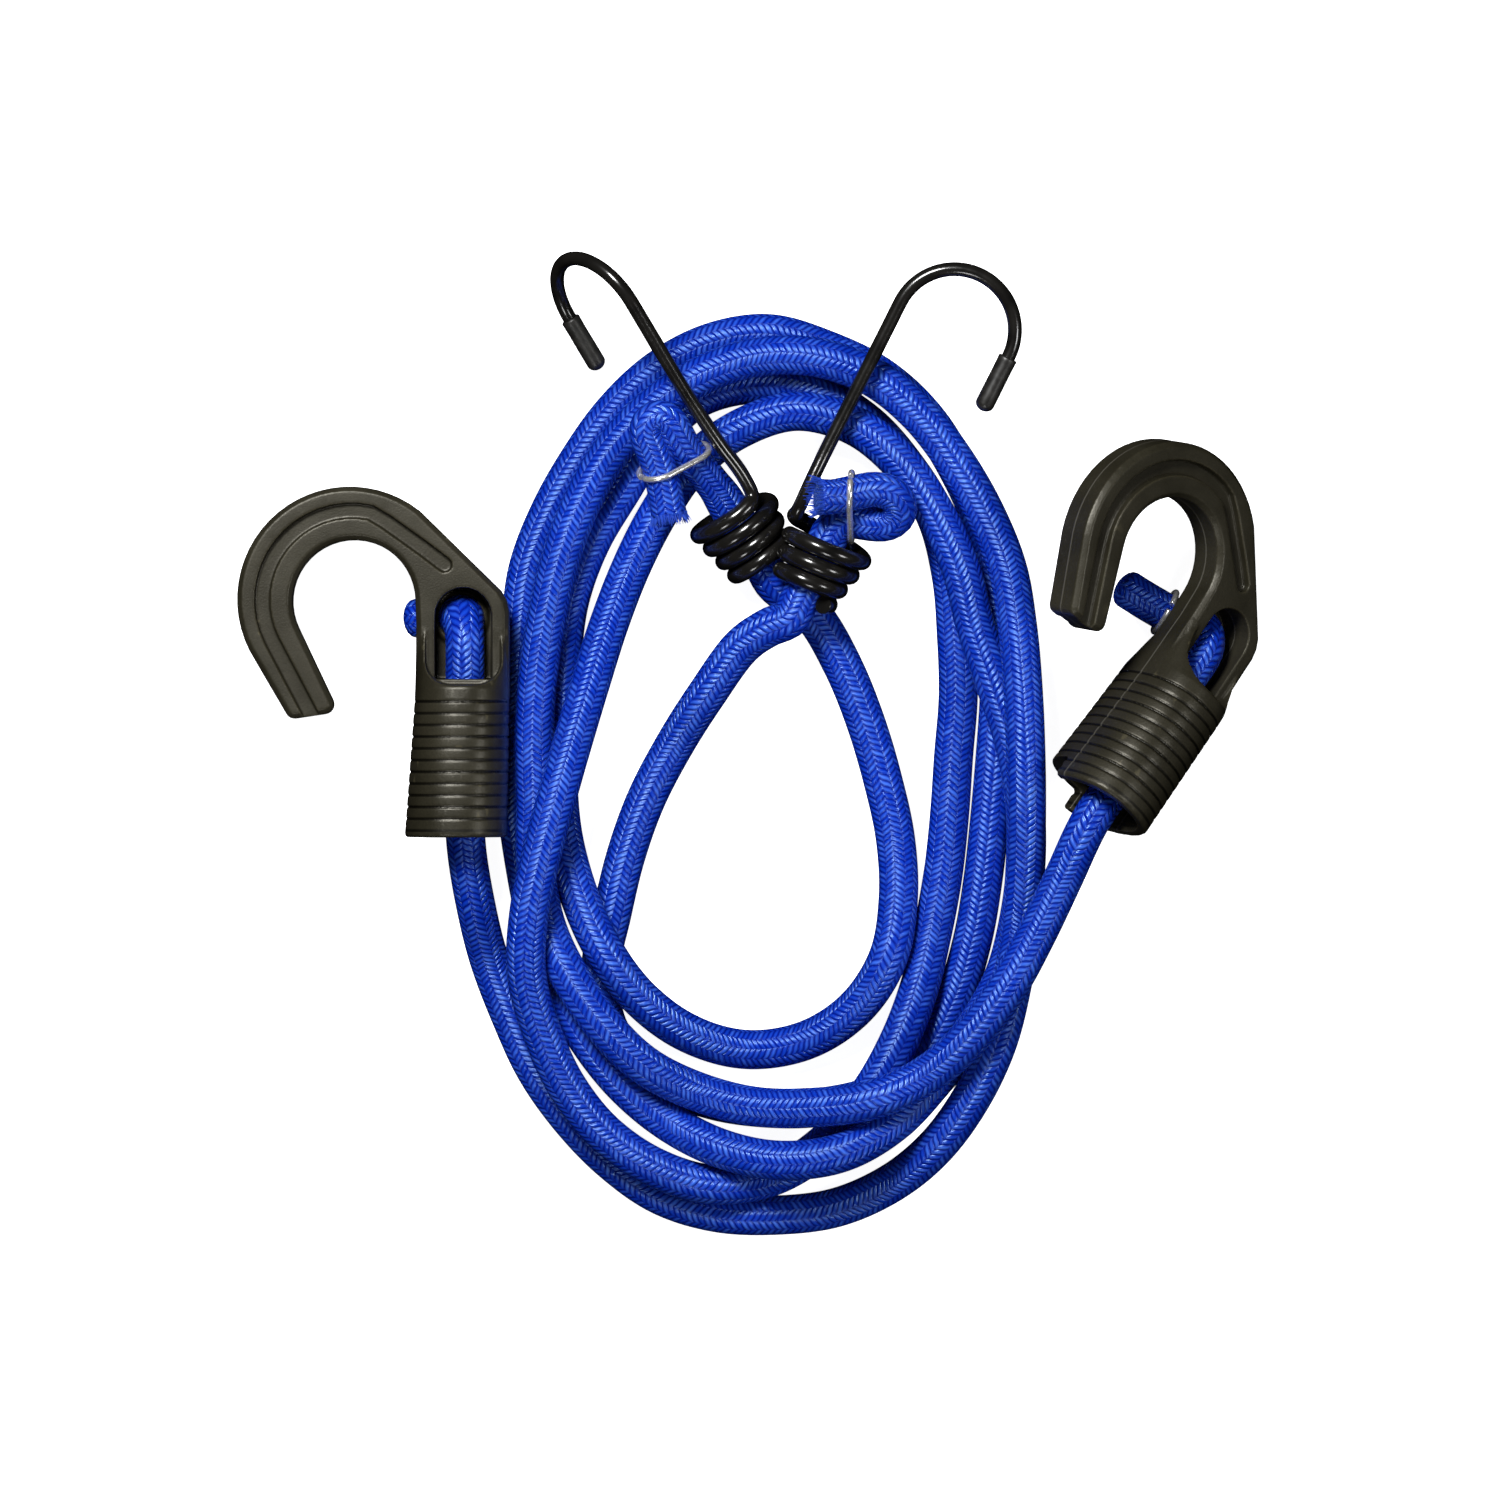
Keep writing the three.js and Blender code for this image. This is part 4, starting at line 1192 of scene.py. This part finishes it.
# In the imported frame: beside the left grip, under the right wire hook's shank, and at that hook's cord tail
GRIP_ROOM = Clearing((-0.0541, -0.0200, 0.0160), (0.00100, 0.0, -0.00022), (0.006, 0.024, 0.010))
SHANK_ROOM = Clearing((0.0230, 0.0800, 0.0158), (0.0, 0.0, -0.00080), (0.014, 0.012, 0.006))
TAIL_ROOM = Clearing((0.0165, 0.0618, 0.0304), (0.0004, -0.0002, 0.00120), (0.007, 0.007, 0.006))


@dataclass(frozen=True)
class TuftSizes:
    """How the loose yarn round a cut end lies. Pairs hold the least and the most."""

    strands: int = 90
    sides: int = 4
    flare_share: tuple[float, float] = (0.1, 0.9)
    reach: tuple[float, float] = (0.0018, 0.0034)
    lean: tuple[float, float] = (-0.25, 0.5)
    thick: tuple[float, float] = (0.00014, 0.00022)
    tip_share: float = 0.4
    buried: float = 0.0008


@dataclass
class Cords:
    """The two long elastic cords, with the frayed ends of the wire hooks' one."""

    finishes: Finishes
    lines: CordLines
    radius: float = 0.00493
    knot_radius: float = 0.0044
    sides: int = 30
    step: float = 0.0016
    knot_blend: float = 0.007
    knot_pull: float = 0.30
    flare: float = 0.0001
    flare_reach: float = 0.0016
    tuft_sizes: TuftSizes = TuftSizes()
    chance: random.Random = field(default_factory=lambda: random.Random(FRAY_SEED))

    def build(self) -> np.ndarray:
        """Make both cords.

        Returns:
            The centre line of the wire hooks' cord, which the knot rings hold.
        """
        self.moulded_cord()
        return self.wire_cord()

    def moulded_cord(self) -> None:
        """Make the cord between the moulded hooks."""
        line = GRIP_ROOM.nudged(smooth_line(self.lines.moulded, self.step))
        cord = Sweep(line, self.radius, self.sides).mesh("moulded_cord", lowest=0.0)
        paint(cord, self.finishes.braid, self.finishes.sealed)
        seat(cord, "cords", Slot.BRAID, "moulded_cord_sheath", "moulded_cord_core")

    def wire_cord(self) -> np.ndarray:
        """Make the cord between the wire hooks, drawn tighter where it is knotted.

        Returns:
            Its centre line.
        """
        line = smooth_line(self.lines.wire, self.step)
        way = way_along(line)
        first = way_along(self.lines.right_knot)[-1]
        last = way[-1] - way_along(self.lines.left_knot)[-1]
        line = self.tightened(line, way / first)
        line = self.tightened(line, (way[-1] - way) / (way[-1] - last))
        line = TAIL_ROOM.nudged(SHANK_ROOM.nudged(line))
        inside = np.clip(np.minimum(way - first, last - way) / self.knot_blend + 0.5, 0.0, 1.0)
        radius = self.knot_radius + (self.radius - self.knot_radius) * inside * inside * (3 - 2 * inside)
        to_end = np.minimum(way, way[-1] - way)
        radius = radius + self.flare * np.exp(-to_end / self.flare_reach)
        cord = Sweep(line, radius, self.sides).mesh("wire_cord", lowest=0.0)
        paint(cord, self.finishes.braid, self.finishes.sealed)
        seat(cord, "cords", Slot.BRAID, "wire_cord_sheath", "wire_cord_core")
        right = self.tuft("right_fray", line[0], line[0] - line[2])
        left = self.tuft("left_fray", line[-1], line[-1] - line[-3])
        return line

    def tightened(self, line: np.ndarray, share: np.ndarray) -> np.ndarray:
        """Draw a knot's loop together.

        Args:
            line: The cord's centre line.
            share: How far along the knot each point lies, from 0 at its cut end to 1.

        Returns:
            The line with the loop's sides closer.
        """
        weight = np.sin(np.pi * np.clip(share, 0.0, 1.0)) ** 2
        middle = (line * weight[:, None]).sum(axis=0) / weight.sum()
        return line + (middle - line) * (self.knot_pull * weight)[:, None]

    def tuft(self, name: str, end: np.ndarray, flow: np.ndarray) -> bpy.types.Object:
        """Make the loose yarn round a cut end.

        Args:
            name: The piece's name.
            end: The cord's last centre.
            flow: The way that the cord points there.

        Returns:
            The piece.
        """
        sizes = self.tuft_sizes
        along = Vector(flow).normalized()
        side = along.orthogonal().normalized()
        up = along.cross(side)
        yarn = bmesh.new()
        for k in range(sizes.strands):
            angle = 2 * math.pi * (k + self.chance.random()) / sizes.strands
            out = side * math.cos(angle) + up * math.sin(angle)
            flare = self.flare * self.chance.uniform(*sizes.flare_share)
            root = Vector(end) + out * (self.knot_radius + flare)
            reach = self.chance.uniform(*sizes.reach)
            lean = (along + out * self.chance.uniform(*sizes.lean)).normalized()
            thick = self.chance.uniform(*sizes.thick)
            turn = Vector((0.0, 0.0, 1.0)).rotation_difference(lean).to_matrix().to_4x4()
            middle = root + lean * (reach / 2 - sizes.buried)
            bmesh.ops.create_cone(
                yarn, cap_ends=True, segments=sizes.sides, radius1=thick, radius2=thick * sizes.tip_share,
                depth=reach, matrix=Matrix.Translation(middle) @ turn,
            )
        piece = to_object(yarn, name)
        paint(piece, self.finishes.fray)
        seat(piece, "cords", Slot.BRAID)
        return piece


@dataclass(frozen=True)
class ClampRing:
    """A ring of steel wire clamped round one cord, or round two legs of one."""

    finishes: Finishes
    wire: float = 0.00078
    laid_wire: float = 0.00075
    clear: float = 0.00035
    mouth: float = 8.0
    steps: int = 64
    sides: int = 14

    def reach(self, cord: float) -> float:
        """Give the distance from a cord's middle to the wire's.

        Args:
            cord: The cord's radius.

        Returns:
            The distance.
        """
        return cord + self.clear + self.laid_wire

    def build(
        self, node: str, body: str, centre: Vector, long_axis: Vector, short_axis: Vector, reach: float,
        apart: float = 0.0,
    ) -> None:
        """Make the ring in place of its node.

        Args:
            node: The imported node.
            body: The body that it moves with.
            centre: The ring's middle.
            long_axis: From one leg to the other.
            short_axis: Square to it, in the ring's plane.
            reach: From a leg's middle to the wire's.
            apart: From leg to leg.
        """
        line = []
        for k in range(self.steps + 1):
            angle = math.radians(self.mouth + (360.0 - 2 * self.mouth) * k / self.steps)
            out = math.copysign(apart / 2, math.cos(angle)) + reach * math.cos(angle)
            line.append(tuple(centre + long_axis * out + short_axis * (reach * math.sin(angle))))
        ring = Sweep(np.array(line), self.wire, self.sides).mesh(node + "_wire")
        paint(ring, self.finishes.steel, self.finishes.steel)
        seat(ring, body, Slot.STEEL, node)


@dataclass(frozen=True)
class KnotRing:
    """The ring round the two legs of one of the wire cord's knots."""

    side: Side
    leg: tuple[float, float, float]
    other: tuple[float, float, float]
    flow: tuple[float, float, float]
    reach: float = 0.0052

    def build(self, clamp: ClampRing, line: np.ndarray) -> None:
        """Make the ring.

        Args:
            clamp: The kind of ring.
            line: The knotted cord's centre line.
        """
        leg = self.nearest(line, self.leg)
        other = self.nearest(line, self.other)
        long_axis = (other - leg).normalized()
        short_axis = Vector(self.flow).normalized().cross(long_axis).normalized()
        middle = leg.lerp(other, 0.5)
        apart = (other - leg).length
        name = f"{self.side.value}_knot_ring"
        clamp.build(name, "cords", middle, long_axis, short_axis, self.reach, apart)

    @staticmethod
    def nearest(line: np.ndarray, place: tuple[float, float, float]) -> Vector:
        """Find the point of a line that is nearest to a place.

        Args:
            line: The line's points.
            place: The place, with the origin not yet taken off.

        Returns:
            The point.
        """
        off = np.linalg.norm(line - np.array(Vector(place) - ORIGIN), axis=1)
        return Vector(line[int(np.argmin(off))])


KNOT_RINGS = (
    KnotRing(Side.LEFT, (-0.0152, 0.0728, 0.0221), (-0.0227, 0.0693, 0.026), (-0.47, 0.73, 0.57)),
    KnotRing(Side.RIGHT, (0.0252, 0.056, 0.0221), (0.025, 0.0632, 0.0286), (1.0, -0.1, 0.0)),
)


class GripSection(NamedTuple):
    """One level of the moulded grip, in the hook's own frame."""

    up: float
    left: float
    right: float
    depth: float
    squareness: float


@dataclass
class HookMoulding:
    """The moulded hook's soft skin, made once in the hook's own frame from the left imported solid."""

    node: bpy.types.Object
    sections: tuple[GripSection, ...] = (
        GripSection(0.0, -0.015, 0.0105, 0.016, 2.4),
        GripSection(0.0345, -0.0125, 0.011, 0.0154, 2.4),
        GripSection(0.037, -0.0124, 0.011, 0.0152, 2.4),
        GripSection(0.041, -0.0123, 0.011, 0.0126, 2.6),
        GripSection(0.046, -0.0122, 0.011, 0.009, 3.0),
        GripSection(0.052, -0.012, 0.011, 0.0066, 3.4),
    )
    section_points: int = 28
    outer_share: float = 0.87
    outer_blend: float = 0.05
    groove_share: float = 0.063
    groove_kept: float = 0.7
    ribbed_from: float = 0.003
    ribbed_to: float = 0.0344
    foot: float = 0.0008
    side_room: float = 1.1
    least_size: float = 0.01
    weld: float = 0.00001
    voxel: float = 0.0003
    smoothing: int = 2
    smooth_factor: float = 0.5
    kept_share: float = 0.36
    lip_centre: tuple[float, float, float] = (-0.0012, 0.0544, -0.0044)
    lip_radius: float = 0.0060
    lip_wire: float = 0.0010
    lip_sides: int = 12
    lip_steps: int = 48

    def skin(self) -> bpy.types.Mesh:
        """Turn the solid into a skin with a lip, a smooth oval grip and slightly rounded edges.

        Returns:
            The skin, with its places in the hook's frame kept as an attribute.
        """
        blank = bmesh.new()
        blank.from_mesh(self.node.data)
        bmesh.ops.remove_doubles(blank, verts=blank.verts, dist=self.weld)
        home = MOULDED_POSES[Side.LEFT].matrix().inverted() @ Matrix.Translation(ORIGIN)
        bmesh.ops.transform(blank, matrix=home, verts=blank.verts)
        self.lip(blank)
        piece = to_object(blank, "hook_blank")
        remesh = piece.modifiers.new("skin", "REMESH")
        remesh.mode = "VOXEL"
        remesh.voxel_size = self.voxel
        piece.data = self.baked(piece)
        piece.modifiers.clear()
        self.round_grip(piece.data)
        edges = piece.modifiers.new("edges", "SMOOTH")
        edges.factor = self.smooth_factor
        edges.iterations = self.smoothing
        thin = piece.modifiers.new("thin", "DECIMATE")
        thin.ratio = self.kept_share
        skin = self.baked(piece)
        bpy.data.objects.remove(piece)
        skin.shade_smooth()
        places = np.empty(len(skin.vertices) * 3, dtype=np.float32)
        skin.vertices.foreach_get("co", places)
        skin.attributes.new(MOULD_ATTRIBUTE, "FLOAT_VECTOR", "POINT").data.foreach_set("vector", places)
        return skin

    @staticmethod
    def baked(piece: bpy.types.Object) -> bpy.types.Mesh:
        """Give a piece's mesh with its modifiers applied.

        Args:
            piece: The piece.

        Returns:
            A new mesh.
        """
        return bpy.data.meshes.new_from_object(piece.evaluated_get(bpy.context.evaluated_depsgraph_get()))

    def round_grip(self, mesh: bpy.types.Mesh) -> None:
        """Turn the grip's flat facets into a smooth oval and draw its grooves in to thin lines.

        Args:
            mesh: The fine skin, in the hook's frame.
        """
        places = np.empty(len(mesh.vertices) * 3, dtype=np.float32)
        mesh.vertices.foreach_get("co", places)
        x, y, z = places.reshape(-1, 3).T.astype(float)
        level = np.array(self.sections).T
        left, right, depth, power = (np.interp(y, level[0], row) for row in level[1:])
        middle = (left + right) / 2
        half = (right - left) / 2
        across = (x - middle) / half
        front = z / depth
        size = (np.abs(across) ** power + np.abs(front) ** power) ** (1 / power)
        size = np.maximum(size, self.least_size)
        turn = np.arctan2(np.abs(front) ** (power / 2), np.abs(across) ** (power / 2))
        pace = 2 * np.pi / self.section_points
        first = np.floor(turn / pace) * pace
        ends = []
        for angle in (first, first + pace):
            ends.append(np.abs(np.cos(angle)) ** (2 / power) * np.sign(np.cos(angle)))
            ends.append(np.abs(np.sin(angle)) ** (2 / power))
        edge_x, edge_y = ends[2] - ends[0], ends[3] - ends[1]
        reach = (ends[0] * edge_y - ends[1] * edge_x) / (np.abs(across) * edge_y - np.abs(front) * edge_x)
        flat_size = size * reach
        dip = np.clip((1 - size / flat_size) / self.groove_share, 0.0, 1.0)
        ribbed = (y < self.ribbed_to) & (y > self.sections[0].up + self.ribbed_from)
        drawn = np.where(ribbed, 1 - self.groove_share * self.groove_kept * dip * dip, size / flat_size)
        grip = (y > self.foot) & (y < self.sections[-1].up) & (x > self.side_room * left)
        outer = grip * np.clip((size - self.outer_share) / self.outer_blend, 0.0, 1.0)
        scale = 1 + (drawn / size - 1) * outer
        moved = np.stack((middle + (x - middle) * scale, y, z * scale), axis=1)
        mesh.vertices.foreach_set("co", moved.astype(np.float32).ravel())
        mesh.update()

    def lip(self, blank: bmesh.types.BMesh) -> None:
        """Add the round lip in the window's back that hugs the folded cord.

        Args:
            blank: The solid, in the hook's frame.
        """
        middle = Vector(self.lip_centre)
        out = Matrix.Translation(middle + Vector((self.lip_radius, 0.0, 0.0)))
        upright = Matrix.Rotation(math.pi / 2, 4, "X")
        made = bmesh.ops.create_circle(
            blank, segments=self.lip_sides, radius=self.lip_wire, matrix=out @ upright
        )
        ring = made["verts"]
        edges = {edge for vert in ring for edge in vert.link_edges}
        bmesh.ops.spin(
            blank, geom=[*ring, *edges], cent=middle, axis=(0.0, 0.0, 1.0), angle=2 * math.pi,
            steps=self.lip_steps, use_merge=True,
        )


@dataclass
class MouldedEnd:
    """One moulded hook with the folded cord end and the ring inside it."""

    side: Side
    finishes: Finishes
    clamp: ClampRing
    fold_radius: float = 0.0048
    bulge: float = 0.0010
    bulge_depth: float = -0.0048
    bulge_half: float = 0.0032
    fold_sides: int = 30
    fold_step: float = 0.0016
    dome: float = 0.6
    ring_step: float = 0.0036
    ring_side: float = -0.007

    def build(self, skin: bpy.types.Mesh) -> None:
        """Make the end's pieces.

        Args:
            skin: The hook's soft skin.
        """
        self.hook(skin)
        self.fold()
        self.fold_ring()

    @property
    def body(self) -> str:
        """Give the body that the pieces move with."""
        return f"{self.side.value}_moulded_end"

    @property
    def frame(self) -> Matrix:
        """Give the hook's frame."""
        return MOULDED_POSES[self.side].matrix()

    @property
    def route(self) -> list[Vector]:
        """Give the folded end's points in the hook's frame."""
        tail = LEFT_TAIL if self.side is Side.LEFT else RIGHT_TAIL
        return [Vector(p) for p in (*FOLD, *tail)]

    def hook(self, skin: bpy.types.Mesh) -> None:
        """Place the hook.

        Args:
            skin: Its soft skin.
        """
        name = f"{self.side.value}_moulded_hook"
        data = skin.copy()
        data.name = name + "_soft"
        data.transform(Matrix.Translation(-ORIGIN) @ self.frame)
        piece = bpy.data.objects.new(name + "_soft", data)
        bpy.context.scene.collection.objects.link(piece)
        paint(piece, self.finishes.moulding)
        seat(piece, self.body, Slot.MOULDING, name)

    def fold(self) -> None:
        """Make the folded cord end, with its tail's round end."""
        line = smooth_line(self.route, self.fold_step, self.frame)
        depth = smooth_line(self.route, self.fold_step)[:, 2]
        swell = self.bulge * np.exp(-(((depth - self.bulge_depth) / self.bulge_half) ** 2))
        centres, radius = rounded_end(line, self.fold_radius + swell, self.dome)
        piece = Sweep(centres, radius, self.fold_sides).mesh(f"{self.side.value}_fold")
        paint(piece, self.finishes.braid, self.finishes.braid)
        nodes = (f"{self.side.value}_fold_sheath", f"{self.side.value}_fold_core")
        seat(piece, self.body, Slot.BRAID, *nodes)

    def fold_ring(self) -> None:
        """Clamp the ring on the tail, just past the hook's back."""
        points = Spline(self.route).stepped(self.ring_step)
        k = int(np.argmax(points[:, 0] < self.ring_side))
        along = Vector(points[k + 1] - points[k - 1]).normalized()
        across = Vector((0.0, 1.0, 0.0)).cross(along).normalized()
        turn = self.frame.to_3x3()
        middle = self.frame @ Vector(points[k]) - ORIGIN
        reach = self.clamp.reach(LAY.fold_radius)
        name = f"{self.side.value}_fold_ring"
        self.clamp.build(name, self.body, middle, turn @ across, turn @ along.cross(across), reach)


@dataclass
class WireEnd:
    """One bent wire hook: a tapering coil, a shank, a bight and a capped point, in the hook's own frame."""

    side: Side
    finishes: Finishes
    wire_radius: float = 0.00178
    coil_wire: float = 0.00215
    coil_blend: float = 0.004
    wire_step: float = 0.0007
    wire_sides: int = 18
    coil_turns: float = 3.6
    coil_pitch: float = 0.0045
    coil_big: float = 0.0103
    coil_small: float = 0.0072
    coil_taper: float = 1.15
    coil_steps: int = 30
    coil_lift: float = 0.0009
    coil_rise: float = 0.00035
    coil_bend: float = 0.0032
    coil_clear: float = 0.0016
    bend_shares: tuple[float, ...] = (0.35, 0.7, 1.0)
    bend_drop: float = 0.9
    shank_out: float = 0.0004
    shank_start: float = 0.005
    shank_low: float = 0.018
    shank_low_share: float = 0.4
    shank_middle: float = 0.034
    shank_end: float = 0.006
    shank_top: float = 0.0593
    bight_radius: float = 0.015
    bight_steps: int = 30
    point_length: float = 0.0132
    cap_radius: float = 0.0024
    cap_bore: float = 0.00205
    cap_length: float = 0.0135
    cap_past: float = 0.0005
    cap_squeeze: float = 0.0002
    cap_lip: tuple[tuple[float, float], ...] = (
        (0.00002, -0.00022), (-0.00012, -0.00004), (-0.00035, 0.00004), (-0.0009, 0.0), (-0.004, -0.00004),
    )
    cap_sleeve: float = 0.004
    cap_shoulder: float = 0.0008
    cap_dome: float = 0.002
    cap_sides: int = 32

    def build(self) -> None:
        """Make the wire and its cap."""
        self.hook()
        self.cap()

    @property
    def body(self) -> str:
        """Give the body that the pieces move with."""
        return f"{self.side.value}_wire_end"

    @property
    def frame(self) -> Matrix:
        """Give the hook's frame."""
        return WIRE_POSES[self.side].matrix()

    @property
    def shank(self) -> float:
        """Give the shank's distance from the coil's axis."""
        return self.coil_big + self.shank_out

    def coil(self) -> list[Vector]:
        """Give the coil's middle line, from its cut end to the start of the shank.

        Returns:
            Points in the hook's frame.
        """
        line = []
        for k in range(round(self.coil_turns * self.coil_steps), 0, -1):
            turn = k / self.coil_steps
            share = min(1.0, turn / self.coil_turns * self.coil_taper)
            radius = self.coil_big + (self.coil_small - self.coil_big) * share
            angle = 2 * math.pi * turn
            drop = -self.coil_pitch * turn
            line.append(Vector((radius * math.cos(angle), drop, radius * math.sin(angle))))
        clear = self.coil_lift + self.coil_clear
        while line[-1].z < clear and line[-1].y > -self.coil_pitch / 4:
            line.pop()
        line.append(Vector((self.coil_big, self.coil_rise, self.coil_lift)))
        return line

    def stem(self) -> list[Vector]:
        """Give the wire's middle line from the coil's bend to the point.

        Returns:
            Points in the hook's frame.
        """
        line = []
        for share in self.bend_shares:
            angle = math.pi / 2 * share
            rise = self.coil_rise + self.coil_bend * (1 - math.cos(angle))
            back = self.coil_lift - self.coil_bend * math.sin(angle) * self.bend_drop
            line.append(Vector((self.coil_big, rise, back)))
        low = line[-1]
        line.append(Vector((self.coil_big + self.shank_out / 2, low.y + self.shank_start, low.z)))
        line.append(Vector((self.shank, self.shank_low, low.z * self.shank_low_share)))
        line.append(Vector((self.shank, self.shank_middle, 0.0)))
        line.append(Vector((self.shank, self.shank_top - self.shank_end, 0.0)))
        middle = self.shank - self.bight_radius
        for k in range(self.bight_steps + 1):
            angle = math.pi * k / self.bight_steps
            high = self.shank_top + self.bight_radius * math.sin(angle)
            line.append(Vector((middle + self.bight_radius * math.cos(angle), high, 0.0)))
        tip = middle - self.bight_radius
        line.append(Vector((tip, self.shank_top - self.point_length / 2, 0.0)))
        line.append(Vector((tip, self.shank_top - self.point_length, 0.0)))
        return line

    def hook(self) -> None:
        """Make the wire, with a thicker dip on its coil."""
        coil = self.coil()
        line = smooth_line([*coil, *self.stem()], self.wire_step, self.frame)
        coil_end = way_along(np.array([tuple(p) for p in coil]))[-1]
        past = np.clip((way_along(line) - coil_end) / self.coil_blend, 0.0, 1.0)
        radius = self.coil_wire + (self.wire_radius - self.coil_wire) * past * past * (3 - 2 * past)
        wire = Sweep(line, radius, self.wire_sides).mesh(f"{self.side.value}_wire")
        paint(wire, self.finishes.coating, self.finishes.steel)
        seat(wire, self.body, Slot.WIRE, f"{self.side.value}_wire_hook")

    def cap(self) -> None:
        """Make the cap: a rolled lip, a straight sleeve and a round end."""
        bottom = self.shank_top - self.point_length - self.cap_past
        top = bottom + self.cap_length
        shoulder = bottom + self.cap_shoulder
        profile = [(top, self.cap_bore - self.cap_squeeze)]
        profile += [(top + rise, self.cap_radius + swell) for rise, swell in self.cap_lip]
        profile += [(bottom + self.cap_sleeve, self.cap_radius), (shoulder, self.cap_radius)]
        for angle in CAP_TURNS:
            turn = math.radians(angle)
            profile.append((shoulder - self.cap_dome * math.sin(turn), self.cap_radius * math.cos(turn)))
        tip = self.shank - 2 * self.bight_radius
        places = np.array([tuple(self.frame @ Vector((tip, y, 0.0)) - ORIGIN) for y, _ in profile])
        radii = np.array([radius for _, radius in profile])
        cap = Sweep(places, radii, self.cap_sides).mesh(f"{self.side.value}_cap")
        paint(cap, self.finishes.vinyl, self.finishes.vinyl)
        seat(cap, self.body, Slot.VINYL, f"{self.side.value}_tip_cap")


@dataclass
class Lamp:
    """A soft round light that faces the bundle."""

    name: str
    at: tuple[float, float, float]
    size: float
    power: float

    def build(self) -> None:
        """Hang the light."""
        light = bpy.data.lights.new(self.name, "AREA")
        light.shape = "DISK"
        light.size = self.size
        light.energy = self.power
        lamp = bpy.data.objects.new(self.name, light)
        lamp.location = self.at
        lamp.rotation_euler = (-Vector(self.at)).to_track_quat("-Z", "Y").to_euler()
        bpy.context.scene.collection.objects.link(lamp)


@dataclass
class Studio:
    """The white floor, the lamps and the camera straight above."""

    height: float = 3.0
    frame_width: float = 0.375
    sensor: float = 36.0
    middle: tuple[float, float] = (0.0003, -0.001245)
    nearest: float = 0.01
    floor_half: float = 3.0
    floor_parts: int = 8
    floor_drop: float = 0.0002
    sky: float = 0.07
    lamps: tuple[Lamp, ...] = (
        Lamp("key", (-0.28, 0.56, 0.98), 0.34, 18.5),
        Lamp("right", (0.80, -0.10, 0.80), 0.32, 3.4),
        Lamp("low", (-0.20, -0.80, 0.80), 0.32, 2.6),
    )

    def build(self) -> None:
        """Set up the stage."""
        self.floor()
        for lamp in self.lamps:
            lamp.build()
        self.even_light()
        self.camera()

    def floor(self) -> None:
        """Lay a wide floor under the bundle."""
        sheet = bmesh.new()
        parts = self.floor_parts
        bmesh.ops.create_grid(sheet, x_segments=parts, y_segments=parts, size=self.floor_half)
        floor = to_object(sheet, "floor")
        floor.location.z = -self.floor_drop
        floor.visible_diffuse = False
        floor.visible_glossy = False
        paint(floor, WhiteFloor().material())

    def even_light(self) -> None:
        """Add a faint even light that no gloss mirrors, and keep colours plain."""
        world = bpy.data.worlds.new("studio")
        world.use_nodes = True
        shade = world.node_tree.nodes["Background"]
        shade.inputs["Color"].default_value = (1.0, 1.0, 1.0, 1.0)
        shade.inputs["Strength"].default_value = self.sky
        bpy.context.scene.world = world
        world.cycles_visibility.glossy = False
        bpy.context.scene.view_settings.view_transform = "Standard"

    def camera(self) -> None:
        """Look straight down, as the photograph does."""
        data = bpy.data.cameras.new("camera")
        data.sensor_width = self.sensor
        data.lens = self.sensor * self.height / self.frame_width
        data.clip_start = self.nearest
        camera = bpy.data.objects.new("camera", data)
        camera.location = (*self.middle, self.height)
        bpy.context.scene.collection.objects.link(camera)
        bpy.context.scene.camera = camera


def main() -> None:
    """Load the frame and dress the bundle."""
    logging.basicConfig(level=logging.INFO)
    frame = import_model()
    finishes = Finishes()
    clamp = ClampRing(finishes)
    knotted = Cords(finishes, CordLines.laid()).build()
    skin = HookMoulding(frame["nodes"]["left_moulded_hook"]).skin()
    for side in Side:
        MouldedEnd(side, finishes, clamp).build(skin)
        WireEnd(side, finishes).build()
    for ring in KNOT_RINGS:
        ring.build(clamp, knotted)
    Studio().build()
    bpy.context.view_layer.update()


if __name__ == "__main__":
    main()
